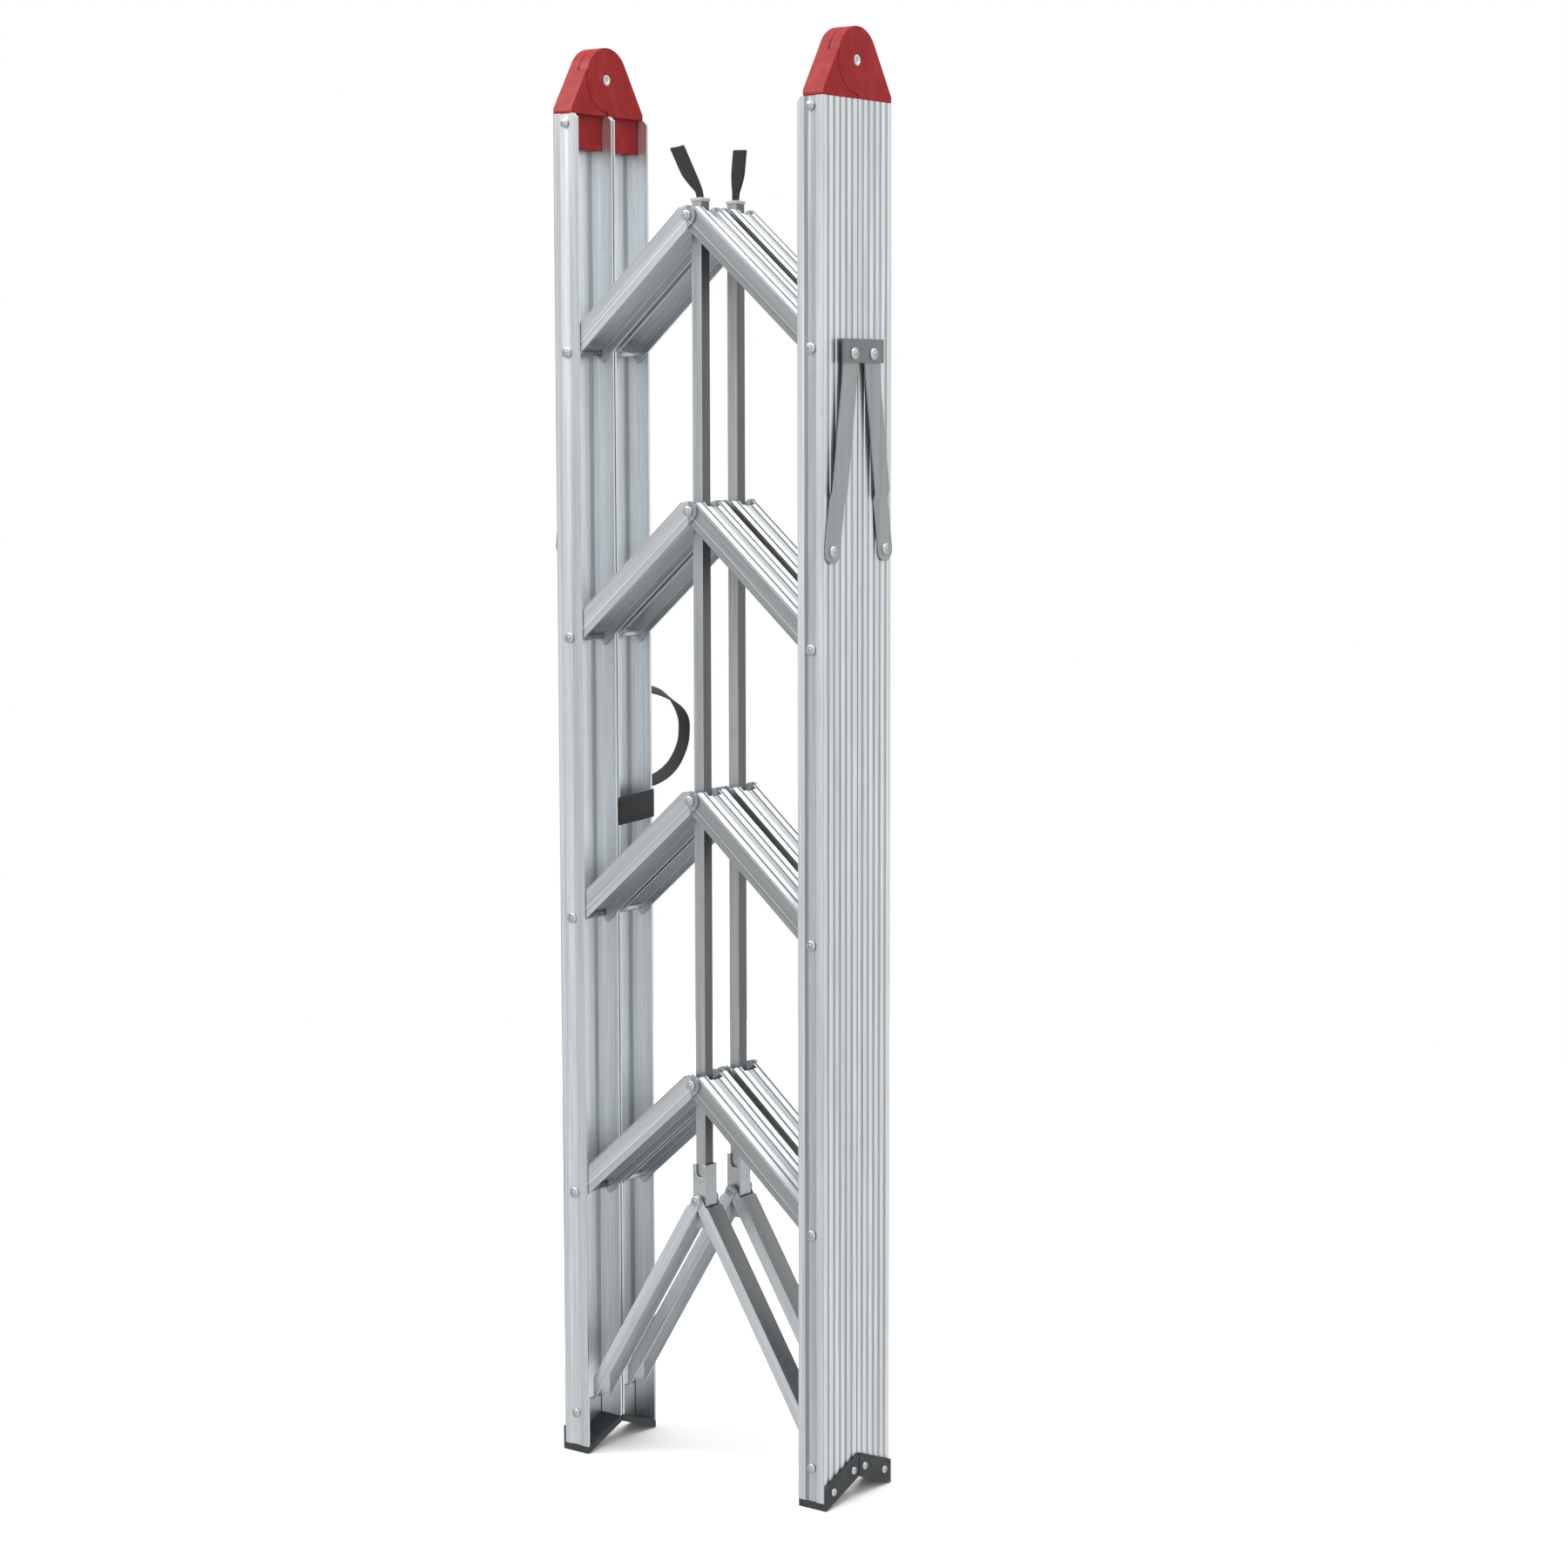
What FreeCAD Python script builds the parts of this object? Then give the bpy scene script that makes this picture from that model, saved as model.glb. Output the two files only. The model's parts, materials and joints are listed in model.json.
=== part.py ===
import FreeCAD, Part
import math
import os
import Sketcher

# A double-sided folding step ladder in millimetres.  +X is to the right of someone who faces
# the front leaf, +Y is towards the back leaf, +Z is up.  The origin is at floor level, under
# the middle of the bounding box.  Rest pose: the A-frame is shut and the width is half folded.

doc = FreeCAD.newDocument("Ladder")
sheet = doc.addObject("Spreadsheet::Sheet", "Sizes")

SIZES = [
    # overall layout
    ("divide_at", -38.9, "Y of the plane between the two leaves"),
    ("leaf_gap", 1.4, "gap between the two closed leaves"),
    ("stile_base", 8, "height of the lowest edge of a stile above the floor"),
    ("fold_angle", 40.8, "slope of the half-rungs at rest, degrees"),
    ("sole_angle", 20.8, "slope of the soles, and each leaf's share of the A-frame opening"),
    # stiles
    ("stile_length", 1450, "length of a stile at its outer edge"),
    ("leaf_depth", 59, "depth of a stile channel"),
    ("flange_width", 33, "width of a stile channel"),
    ("web_thick", 2, "web of a stile"),
    ("flange_thick", 2, "flange of a stile"),
    ("recess_deep", 0.8, "shallow recess along the outside of each flange"),
    ("recess_near", 9.8, "start of that recess from the web's outer face"),
    ("recess_far", 24.2, "end of that recess"),
    ("recess_slope", 4.4, "width of the sloping side at its far end"),
    ("lip_thick", 2.4, "thicker strip at a flange's free edge"),
    ("lip_width", 13, "width of the thicker strip"),
    ("flute_pitch", 10.4, "spacing of the flutes on the web"),
    ("flute_width", 6.4, "width of a flute"),
    ("flute_deep", 0.7, "depth of a flute"),
    ("rib_tall", 0.5, "height of the two ribs inside the web"),
    ("rib_at", 19, "distance of an inside rib from the middle"),
    ("stile_chamfer", 4.5, "corner cut off the top of each flange"),
    ("pivot_inset", 16.25, "rung pivots from the outer face of the web"),
    ("first_pivot", 285, "lowest rung pivot above the stile's lowest edge"),
    ("rung_pitch", 304.8, "rung spacing, 12 inches"),
    ("brace_rivet", 36, "brace rivet above the stile's lowest edge"),
    ("plug_rivet", 1440, "hinge plug rivet above the stile's lowest edge"),
    ("pin_radius", 4, "rung pin"),
    ("pin_play", 0.05, "radial clearance of a pin that turns"),
    ("dome_radius", 7.2, "rivet dome"),
    ("dome_tall", 2.2, "height of a rivet dome"),
    # half-rungs
    ("half_rung", 212, "pivot to pivot length of a half-rung"),
    ("tread_above", 13, "tread surface above the line of pivots"),
    ("tread_thick", 2, "tread plate"),
    ("skirt_below", 10.5, "lower edge of a half-rung below the line of pivots"),
    ("skirt_thick", 2, "side plate of a half-rung"),
    ("rung_tail", 4, "how far a half-rung runs past its stile pivot"),
    ("outer_half", 26.3, "half depth of a left half-rung, which is the outer one"),
    ("inner_half", 24.0, "half depth of a right half-rung, which nests inside"),
    ("tread_stop", 1, "gap from the tread's end to the middle of the ladder"),
    ("notch_deep", 7.4, "notch for the centre bar from the middle of the ladder"),
    ("notch_front", 10.7, "notch in front of the middle of the leaf"),
    ("notch_back", 11.5, "notch behind the middle of the leaf"),
    ("groove_at", 14.5, "outer grip groove from the middle of the tread"),
    ("groove_wide", 4.4, "width of an outer grip groove"),
    ("channel_wide", 11.5, "wide groove along the middle of the tread"),
    ("groove_deep", 1.1, "depth of the grooves"),
    # centre bar, bracket and braces
    ("bar_wide", 12.7, "centre bar in X"),
    ("bar_deep", 13.5, "centre bar in Y"),
    ("bar_wall", 1.5, "wall of the centre bar"),
    ("bar_shift", 3, "centre bar in front of the middle of its leaf"),
    ("bar_above", 15, "centre bar above the top centre pin"),
    ("bar_below", 31, "centre bar below the bracket pivot"),
    ("centre_pin", 3.5, "radius of a centre pin"),
    ("cap_wide", 15, "cap on the centre bar"),
    ("cap_tall", 4, "height of that cap"),
    ("bracket_drop", 127.5, "bracket pivot below the lowest centre pin"),
    ("bracket_wide", 17.7, "bracket in X"),
    ("bracket_deep", 19.6, "bracket in Y"),
    ("bracket_wall", 1.9, "wall of the bracket"),
    ("bracket_up", 39, "bracket above its pivot"),
    ("bracket_down", 6, "bracket below its pivot"),
    ("slot_wide", 9, "slot that takes the lowest centre pin"),
    ("slot_seat", 25.1, "bottom of that slot above the pivot"),
    ("brace_pin", 3, "radius of the bracket's rivets"),
    ("brace_head", 5.5, "head of the bracket's rivets"),
    ("brace_span", 305.5, "stile rivet to bracket pivot along a brace"),
    ("brace_cut", 28, "how far the brace ends short of the stile rivet"),
    ("brace_above", 8, "top of a brace above its line"),
    ("brace_below", 6, "lower edge of a brace below its line"),
    ("brace_plate", 1.5, "thickness of a brace"),
    ("outer_brace", 30, "width of a left brace"),
    ("inner_brace", 26, "width of a right brace"),
    ("brace_open", 12, "bare ears at the bracket end of a brace"),
    # top hinges
    ("axis_above", 38.5, "hinge axis above the stile's top"),
    ("hinge_radius", 34, "round part of a hinge half"),
    ("hinge_play", 0.4, "clearance round the round part"),
    ("hinge_wide", 26, "width of a hinge"),
    ("wedge_top", 9, "top of the wedge beside the round part, above the axis"),
    ("layer_gap", 0.15, "half the gap between the two layers"),
    ("skirt_tall", 6, "upright edge at a hinge half's foot"),
    ("shoulder_out", 29.0, "where the slope meets the round part, out from the axis"),
    ("shoulder_up", 17.7, "where the slope meets the round part, above the axis"),
    ("plug_long", 36, "plug inside the channel"),
    ("plug_back", 13, "plug behind the flange edges"),
    ("plug_play", 0.2, "clearance round the plug"),
    ("bolt_radius", 4, "hinge bolt"),
    ("bolt_head", 6, "counterbore for the bolt's head"),
    ("bolt_sunk", 4, "depth of the counterbore"),
    # feet
    ("sole_thick", 8, "rubber under the stile"),
    ("foot_plate", 3, "side plate of a foot"),
    ("foot_tall", 18, "side plate above the stile's slanted end"),
    ("foot_rivet_near", 16.2, "outer foot rivet from the middle of the leaf"),
    ("foot_rivet_far", 20, "inner foot rivet from the middle of the leaf"),
    ("foot_rivet", 4.2, "radius of a foot rivet"),
    ("liner_thick", 2, "metal plate inside the foot of the channel"),
    ("liner_tall", 40, "height of that plate"),
    ("liner_hole", 6, "hole in that plate"),
    # spreaders
    ("spread_low", 46.5, "spreader rivet out from the divide"),
    ("spread_drop", 494, "spreader rivet below the hinge axis"),
    ("spread_top", 17, "plate rivet out from the divide"),
    ("link_long", 202, "rivet to rivet length of a spreader link"),
    ("link_wide", 25, "width of a spreader link"),
    ("link_thick", 2, "thickness of a spreader link"),
    ("link_off", 0.4, "gap from the web to a link's lower part"),
    ("link_step", 3.2, "gap from the web to a link's upper part"),
    ("step_at", 52, "height of the step in a link above its rivet"),
    ("step_run", 8, "length of the step"),
    ("plate_half", 35.5, "half length of the spreader plate"),
    ("plate_up", 15.2, "spreader plate above its rivets"),
    ("plate_down", 9, "spreader plate below its rivets"),
    ("plate_off", 5.6, "gap from the web to the spreader plate"),
    ("plate_lip", 13.2, "height of the underside of the plate's folded lip"),
    ("spread_pin", 3, "spreader rivet"),
    ("spread_head", 5.6, "head of a spreader rivet"),
    ("spread_cap", 1.8, "height of that head"),
    # webbing
    ("pull_wide", 15, "pull strap"),
    ("pull_tall", 52.5, "pull strap above the cap"),
    ("pull_thick", 4, "two layers of the pull strap"),
    ("pull_lean", 24, "lean of the front pull strap"),
    ("loop_at", 833, "top of the carry loop above the stile's lowest edge"),
    ("loop_wide", 16, "width of the carry loop's webbing"),
    ("loop_thick", 3.5, "thickness of the carry loop"),
    ("loop_reach", 80, "carry loop behind the back leaf"),
    ("loop_tall", 109, "height of the carry loop"),
    ("band_at", 688, "lower edge of the band above the stile's lowest edge"),
    ("band_tall", 31, "width of the band"),
    ("band_thick", 0.9, "thickness of the band"),
]
for row, (alias, number, meaning) in enumerate(SIZES, start=1):
    sheet.set(f"A{row}", meaning)
    sheet.set(f"B{row}", str(number))
    sheet.setAlias(f"B{row}", alias)
doc.recompute()


def size(expression):
    """The value of an expression on the sheet."""
    return float(sheet.evalExpression(expression.replace("Sizes.", "")))


def bound(expression):
    """The same expression with each alias pointing at the sheet."""
    words = []
    word = ""
    for letter in expression + " ":
        if letter.isalnum() or letter in "_.":
            word += letter
            continue
        if word in ALIASES:
            word = "Sizes." + word
        words.append(word + letter)
        word = ""
    return "".join(words).strip()


ALIASES = {alias for alias, number, meaning in SIZES}


def new_body(label):
    body = doc.addObject("PartDesign::Body", label)
    body.Label = label
    return body


def new_sketch(body, role, offset="0"):
    """A sketch on one of the body's own origin planes, moved along the plane's normal."""
    sketch = body.newObject("Sketcher::SketchObject", body.Name + "_sketch")
    plane = [o for o in body.Origin.OriginFeatures if o.Role == role][0]
    sketch.AttachmentSupport = [(plane, "")]
    sketch.MapMode = "FlatFace"
    if offset != "0":
        sketch.setExpression("AttachmentOffset.Base.z", bound(offset))
    return sketch


def pin_point(sketch, item, which, across, up):
    """Fix one point of a sketch with two expressions."""
    for kind, expression in (("DistanceX", across), ("DistanceY", up)):
        index = sketch.addConstraint(
            Sketcher.Constraint(kind, -1, 1, item, which, size(expression))
        )
        sketch.setExpression(f"Constraints[{index}]", bound(expression))


def outline(sketch, corners):
    """A closed polygon whose corners are pairs of expressions."""
    points = [FreeCAD.Vector(size(a), size(b), 0) for a, b in corners]
    first = sketch.GeometryCount
    count = len(points)
    for i in range(count):
        sketch.addGeometry(Part.LineSegment(points[i], points[(i + 1) % count]))
    for i in range(count):
        following = first + (i + 1) % count
        sketch.addConstraint(
            Sketcher.Constraint("Coincident", first + i, 2, following, 1)
        )
        pin_point(sketch, first + i, 1, *corners[i])


def rectangle(sketch, left, low, right, high):
    outline(sketch, [(left, low), (right, low), (right, high), (left, high)])


def circle(sketch, across, up, radius):
    centre = FreeCAD.Vector(size(across), size(up), 0)
    item = sketch.addGeometry(
        Part.Circle(centre, FreeCAD.Vector(0, 0, 1), size(radius))
    )
    pin_point(sketch, item, 3, across, up)
    index = sketch.addConstraint(Sketcher.Constraint("Radius", item, size(radius)))
    sketch.setExpression(f"Constraints[{index}]", bound(radius))


def pad(body, sketch, length, middle=False, backwards=False):
    feature = body.newObject("PartDesign::Pad", body.Name + "_pad")
    feature.Profile = sketch
    feature.setExpression("Length", bound(length))
    feature.Midplane = middle
    feature.Reversed = backwards
    return feature


def cut(body, sketch, depth=None, backwards=False):
    """A pocket: both ways through everything, or one way to a depth."""
    feature = body.newObject("PartDesign::Pocket", body.Name + "_cut")
    feature.Profile = sketch
    if depth is None:
        feature.Type = "ThroughAll"
        feature.Midplane = True
    else:
        feature.setExpression("Length", bound(depth))
        feature.Reversed = backwards
    return feature


def turned(base, *turns):
    """A placement at base after turns of (axis, degrees), the first one applied first."""
    rotation = FreeCAD.Rotation()
    for axis, degrees in turns:
        rotation = FreeCAD.Rotation(FreeCAD.Vector(*axis), degrees).multiply(rotation)
    return FreeCAD.Placement(FreeCAD.Vector(*base), rotation)


nodes = []


def keep(node, placement):
    node.Placement = placement
    nodes.append(node)


# ---- where things are at rest ----
fold = math.radians(size("fold_angle"))
pivot_x = size("half_rung") * math.cos(fold)
rise = size("half_rung") * math.sin(fold)
web_x = pivot_x + size("pivot_inset")
base_z = size("stile_base")
axis_z = base_z + size("stile_length") + size("axis_above")
divide = size("divide_at")
leaf_y = {
    "front": divide - size("leaf_gap") / 2 - size("leaf_depth") / 2,
    "back": divide + size("leaf_gap") / 2 + size("leaf_depth") / 2,
}
bar_y = {leaf: y - size("bar_shift") for leaf, y in leaf_y.items()}
low_pin_z = base_z + size("first_pivot") + rise
bracket_z = low_pin_z - size("bracket_drop")
brace_slope = math.degrees(math.acos(pivot_x / size("brace_span")))
UP = (0, 0, 1)
BACKWARD = (0, 1, 0)


def side_placement(side, y, z):
    """Channel pieces are drawn for the left side and turned half round for the right."""
    if side == "left":
        return turned((-web_x, y, z))
    return turned((web_x, y, z), (UP, 180))


def outward(side, leaf):
    """Which way along a channel piece's own Y its leaf's outer face lies."""
    return -1 if (side == "left") == (leaf == "front") else 1


# ---- stiles: X runs in from the web's outer face, Y across, Z up from the lowest edge ----
def stile(label, out):
    body = new_body(label)
    profile = new_sketch(body, "XY_Plane")
    half = "leaf_depth / 2"
    lip = "flange_width - lip_width"
    sunk = f"({half} - recess_deep)"
    corners = [
        ("0", f"-{half}"),
        ("recess_near", f"-{half}"),
        ("recess_near", f"-{sunk}"),
        ("recess_far - recess_slope", f"-{sunk}"),
        ("recess_far", f"-{half}"),
        ("flange_width", f"-{half}"),
        ("flange_width", f"lip_thick - {half}"),
        (lip, f"lip_thick - {half}"),
        (lip, f"flange_thick - {half}"),
        ("web_thick", f"flange_thick - {half}"),
        ("web_thick", "0 - rib_at - 1"),
        ("web_thick + rib_tall", "0 - rib_at - 1"),
        ("web_thick + rib_tall", "0 - rib_at + 1"),
        ("web_thick", "0 - rib_at + 1"),
        ("web_thick", "rib_at - 1"),
        ("web_thick + rib_tall", "rib_at - 1"),
        ("web_thick + rib_tall", "rib_at + 1"),
        ("web_thick", "rib_at + 1"),
        ("web_thick", f"{half} - flange_thick"),
        (lip, f"{half} - flange_thick"),
        (lip, f"{half} - lip_thick"),
        ("flange_width", f"{half} - lip_thick"),
        ("flange_width", half),
        ("recess_far", half),
        ("recess_far - recess_slope", sunk),
        ("recess_near", sunk),
        ("recess_near", half),
        ("0", half),
    ]
    for flute in (2, 1, 0, -1, -2):
        middle = f"{flute} * flute_pitch"
        corners += [
            ("0", f"{middle} + flute_width / 2"),
            ("flute_deep", f"{middle} + flute_width / 2 - flute_deep"),
            ("flute_deep", f"{middle} - flute_width / 2 + flute_deep"),
            ("0", f"{middle} - flute_width / 2"),
        ]
    outline(profile, corners)
    pad(body, profile, "stile_length")
    foot = new_sketch(body, "YZ_Plane")
    outline(foot, [
        (f"{out} * leaf_depth / 2", "0"),
        (f"{-out} * leaf_depth / 2", "leaf_depth * tan(sole_angle * 1deg)"),
        (f"{-out} * (leaf_depth / 2 + 5)", "leaf_depth * tan(sole_angle * 1deg)"),
        (f"{-out} * (leaf_depth / 2 + 5)", "-5"),
        (f"{out} * leaf_depth / 2", "-5"),
    ])
    cut(body, foot)
    top = new_sketch(body, "XZ_Plane")
    outline(top, [
        ("flange_width + 1", "stile_length - stile_chamfer - 1"),
        ("flange_width + 1", "stile_length + 1"),
        ("flange_width - stile_chamfer - 1", "stile_length + 1"),
    ])
    for i in range(4):
        circle(top, "pivot_inset", f"first_pivot + {i} * rung_pitch", "pin_radius")
    cut(body, top)
    return body


# ---- half-rungs: X runs from the stile pivot to the centre pin ----
def half_rung(label, half, shift):
    """shift is the way in Y that its leaf's front lies, in the half-rung's own frame."""
    body = new_body(label)
    side = new_sketch(body, "XZ_Plane")
    outline(side, [
        ("0 - rung_tail", "0 - skirt_below"),
        ("half_rung", "0 - skirt_below"),
        ("half_rung", "skirt_below"),
        ("half_rung - tread_stop", "skirt_below"),
        ("half_rung - tread_stop", "tread_above"),
        ("0 - rung_tail", "tread_above"),
    ])
    pad(body, side, f"2 * {half}", middle=True)
    nose = new_sketch(body, "XZ_Plane")
    circle(nose, "half_rung", "0", "skirt_below")
    pad(body, nose, f"2 * {half}", middle=True)
    hollow = new_sketch(body, "YZ_Plane")
    rectangle(
        hollow,
        f"skirt_thick - {half}",
        "0 - skirt_below - 2",
        f"{half} - skirt_thick",
        "tread_above - tread_thick",
    )
    cut(body, hollow)
    notch = new_sketch(body, "XY_Plane")
    near = "0 - notch_front" if shift == -1 else "0 - notch_back"
    far = "notch_back" if shift == -1 else "notch_front"
    outline(notch, [
        ("half_rung - notch_deep", near),
        ("half_rung - tread_stop", near),
        ("half_rung - tread_stop", f"skirt_thick - {half}"),
        ("half_rung + 20", f"skirt_thick - {half}"),
        ("half_rung + 20", f"{half} - skirt_thick"),
        ("half_rung - tread_stop", f"{half} - skirt_thick"),
        ("half_rung - tread_stop", far),
        ("half_rung - notch_deep", far),
    ])
    cut(body, notch)
    grip = new_sketch(body, "YZ_Plane")
    for i, wide in ((-1, "groove_wide"), (0, "channel_wide"), (1, "groove_wide")):
        rectangle(
            grip,
            f"{i} * groove_at - {wide} / 2",
            "tread_above - groove_deep",
            f"{i} * groove_at + {wide} / 2",
            "tread_above + 2",
        )
    cut(body, grip)
    holes = new_sketch(body, "XZ_Plane")
    circle(holes, "0", "0", "pin_radius + pin_play")
    circle(holes, "half_rung", "0", "centre_pin + pin_play")
    cut(body, holes)
    return body


# ---- braces: X runs from the bracket pivot to the foot end, Z is the closed side ----
def brace(label, width):
    body = new_body(label)
    slope = "tan(acos(half_rung * cos(fold_angle * 1deg) / brace_span))"
    end = "(brace_span - brace_cut)"
    side = new_sketch(body, "XZ_Plane")
    outline(side, [
        ("0", "0 - brace_below"),
        (f"{end} + brace_below * {slope}", "0 - brace_below"),
        (f"{end} - brace_above * {slope}", "brace_above"),
        ("brace_open", "brace_above"),
        ("brace_open", "brace_below"),
        ("0", "brace_below"),
    ])
    pad(body, side, width, middle=True)
    nose = new_sketch(body, "XZ_Plane")
    circle(nose, "0", "0", "brace_below")
    pad(body, nose, width, middle=True)
    hollow = new_sketch(body, "YZ_Plane")
    rectangle(
        hollow,
        f"brace_plate - {width} / 2",
        "0 - brace_below - 2",
        f"{width} / 2 - brace_plate",
        "brace_above - brace_plate",
    )
    cut(body, hollow)
    hole = new_sketch(body, "XZ_Plane")
    circle(hole, "0", "0", "brace_pin + pin_play")
    cut(body, hole)
    return body


# ---- centre bar, its cap and its pull strap ----
def centre_bar(label):
    body = new_body(label)
    run = "3 * rung_pitch + bar_above + bracket_drop + bar_below"
    tube = new_sketch(body, "XY_Plane")
    rectangle(tube, "0 - bar_wide / 2", "0 - bar_deep / 2", "bar_wide / 2", "bar_deep / 2")
    rectangle(
        tube,
        "bar_wall - bar_wide / 2",
        "bar_wall - bar_deep / 2",
        "bar_wide / 2 - bar_wall",
        "bar_deep / 2 - bar_wall",
    )
    pad(body, tube, run)
    holes = new_sketch(body, "XZ_Plane")
    for i in range(4):
        circle(
            holes, "0", f"bar_below + bracket_drop + {i} * rung_pitch", "centre_pin"
        )
    cut(body, holes)
    return body


def bar_cap(label):
    body = new_body(label)
    plate = new_sketch(body, "XY_Plane")
    rectangle(plate, "0 - cap_wide / 2", "0 - cap_wide / 2", "cap_wide / 2", "cap_wide / 2")
    pad(body, plate, "cap_tall")
    return body


def pull_strap(label, lean):
    """A doubled strip of webbing that leans sideways by the given share of pull_lean."""
    body = new_body(label)
    strip = new_sketch(body, "XZ_Plane")
    outline(strip, [
        ("0 - pull_wide / 2", "0"),
        ("pull_wide / 2", "0"),
        (f"pull_wide / 2 + {lean} * pull_lean / 3", "pull_tall / 2"),
        (f"pull_wide / 2 + {lean} * pull_lean", "pull_tall"),
        (f"{lean} * pull_lean - pull_wide / 2", "pull_tall"),
        (f"{lean} * pull_lean / 3 - pull_wide / 2", "pull_tall / 2"),
    ])
    pad(body, strip, "pull_thick", middle=True)
    return body


# ---- lock bracket: folded sheet round the bar, open on the left, slotted for the lowest pin ----
def lock_bracket(label):
    body = new_body(label)
    sleeve = new_sketch(body, "XY_Plane", "0 - bracket_down")
    wide = "bracket_wide / 2"
    deep = "bracket_deep / 2"
    outline(sleeve, [
        (f"0 - {wide}", f"0 - {deep}"),
        (wide, f"0 - {deep}"),
        (wide, deep),
        (f"0 - {wide}", deep),
        (f"0 - {wide}", f"{deep} - bracket_wall"),
        (f"{wide} - bracket_wall", f"{deep} - bracket_wall"),
        (f"{wide} - bracket_wall", f"bracket_wall - {deep}"),
        (f"0 - {wide}", f"bracket_wall - {deep}"),
    ])
    pad(body, sleeve, "bracket_up + bracket_down")
    slot = new_sketch(body, "XZ_Plane")
    outline(slot, [
        ("0 - slot_wide / 2", "slot_seat + 5"),
        ("1.2 - slot_wide / 2", "slot_seat + 2"),
        ("3.5 - slot_wide / 2", "slot_seat"),
        ("slot_wide / 2", "slot_seat"),
        ("slot_wide / 2", "bracket_up + 1"),
        ("0 - slot_wide / 2", "bracket_up + 1"),
    ])
    cut(body, slot)
    gap = "(outer_brace / 2 + 0.3)"
    for plane_at, backwards in ((f"{deep} - 0.5", False), (f"0.5 - {deep}", True)):
        shank = new_sketch(body, "XZ_Plane", plane_at)
        circle(shank, "0", "0", "brace_pin")
        pad(body, shank, f"{gap} - {deep} + 0.8", backwards=backwards)
    for plane_at, backwards in ((gap, False), (f"0 - {gap}", True)):
        head = new_sketch(body, "XZ_Plane", plane_at)
        circle(head, "0", "0", "brace_head")
        pad(body, head, "1.8", backwards=backwards)
    return body


# ---- hinge halves: origin on the hinge axis, in the middle of the hinge's width ----
def hinge_half(label, way, inward):
    """way is -1 for the front leaf and 1 for the back; inward is 1 on the left side."""
    body = new_body(label)
    outer = "(leaf_depth + leaf_gap / 2)"
    inner = "leaf_gap / 2"
    block = new_sketch(body, "YZ_Plane")
    outline(block, [
        (f"{way} * {outer}", "0 - axis_above"),
        (f"{way} * {inner}", "0 - axis_above"),
        (f"{way} * {inner}", "-10"),
        (f"{way} * shoulder_out", "shoulder_up"),
        (f"{way} * {outer}", "skirt_tall - axis_above"),
    ])
    pad(body, block, "hinge_wide", middle=True)
    # the front half is round in the -X layer, the back half in the +X layer
    seat = new_sketch(body, "YZ_Plane", f"{way} * layer_gap")
    circle(seat, "0", "0", "hinge_radius + hinge_play")
    cut(body, seat, "hinge_wide", backwards=(way == -1))
    blunt = new_sketch(body, "YZ_Plane", f"{way} * layer_gap")
    rectangle(
        blunt,
        f"{way} * 15",
        "wedge_top",
        f"{way} * {outer}",
        "hinge_radius",
    )
    cut(body, blunt, "hinge_wide", backwards=(way == -1))
    disc = new_sketch(body, "YZ_Plane", f"{way} * layer_gap")
    circle(disc, "0", "0", "hinge_radius")
    pad(body, disc, "hinge_wide / 2 - layer_gap", backwards=(way == -1))
    bore = new_sketch(body, "YZ_Plane")
    circle(bore, "0", "0", "bolt_radius + pin_play")
    cut(body, bore)
    sink = new_sketch(body, "YZ_Plane", f"{way} * hinge_wide / 2")
    circle(sink, "0", "0", "bolt_head + 0.1")
    cut(body, sink, "bolt_sunk", backwards=(way == -1))
    plug = new_sketch(body, "XY_Plane", "0 - axis_above - plug_long")
    near = f"{inward} * (web_thick + rib_tall + plug_play - hinge_wide / 2)"
    far = f"{inward} * (flange_width - plug_back - hinge_wide / 2)"
    low = f"{way} * (leaf_gap / 2 + lip_thick + plug_play)"
    high = f"{way} * ({outer} - lip_thick - plug_play)"
    rectangle(plug, near, low, far, high)
    pad(body, plug, "plug_long + 1")
    return body


def hinge_bolt(label):
    """Shank and two heads in one turned piece along X."""
    body = new_body(label)
    half = "hinge_wide / 2"
    turning = new_sketch(body, "XZ_Plane")
    step = f"{half} - bolt_sunk + 0.2"
    end = f"{half} - 0.4"
    outline(turning, [
        (f"0 - ({end})", "0"),
        (end, "0"),
        (end, "bolt_head"),
        (step, "bolt_head"),
        (step, "bolt_radius"),
        (f"0 - ({step})", "bolt_radius"),
        (f"0 - ({step})", "bolt_head"),
        (f"0 - ({end})", "bolt_head"),
    ])
    spin = body.newObject("PartDesign::Revolution", body.Name + "_turning")
    spin.Profile = turning
    spin.ReferenceAxis = (turning, ["H_Axis"])
    spin.Angle = 360
    return body


# ---- feet, in the stile's own frame ----
def foot(label, out):
    body = new_body(label)
    step = "leaf_depth * tan(sole_angle * 1deg)"
    near = f"{out} * leaf_depth / 2"
    far = f"{-out} * leaf_depth / 2"
    plate = new_sketch(body, "YZ_Plane", "0 - foot_plate")
    outline(plate, [
        (near, "0 - sole_thick"),
        (far, f"{step} - sole_thick"),
        (far, f"{step} + foot_tall"),
        (near, "foot_tall"),
    ])
    pad(body, plate, "foot_plate")
    sole = new_sketch(body, "YZ_Plane", "0 - foot_plate")
    outline(sole, [
        (near, "0 - sole_thick"),
        (far, f"{step} - sole_thick"),
        (far, step),
        (near, "0"),
    ])
    pad(body, sole, "foot_plate + flange_width")
    return body


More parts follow.
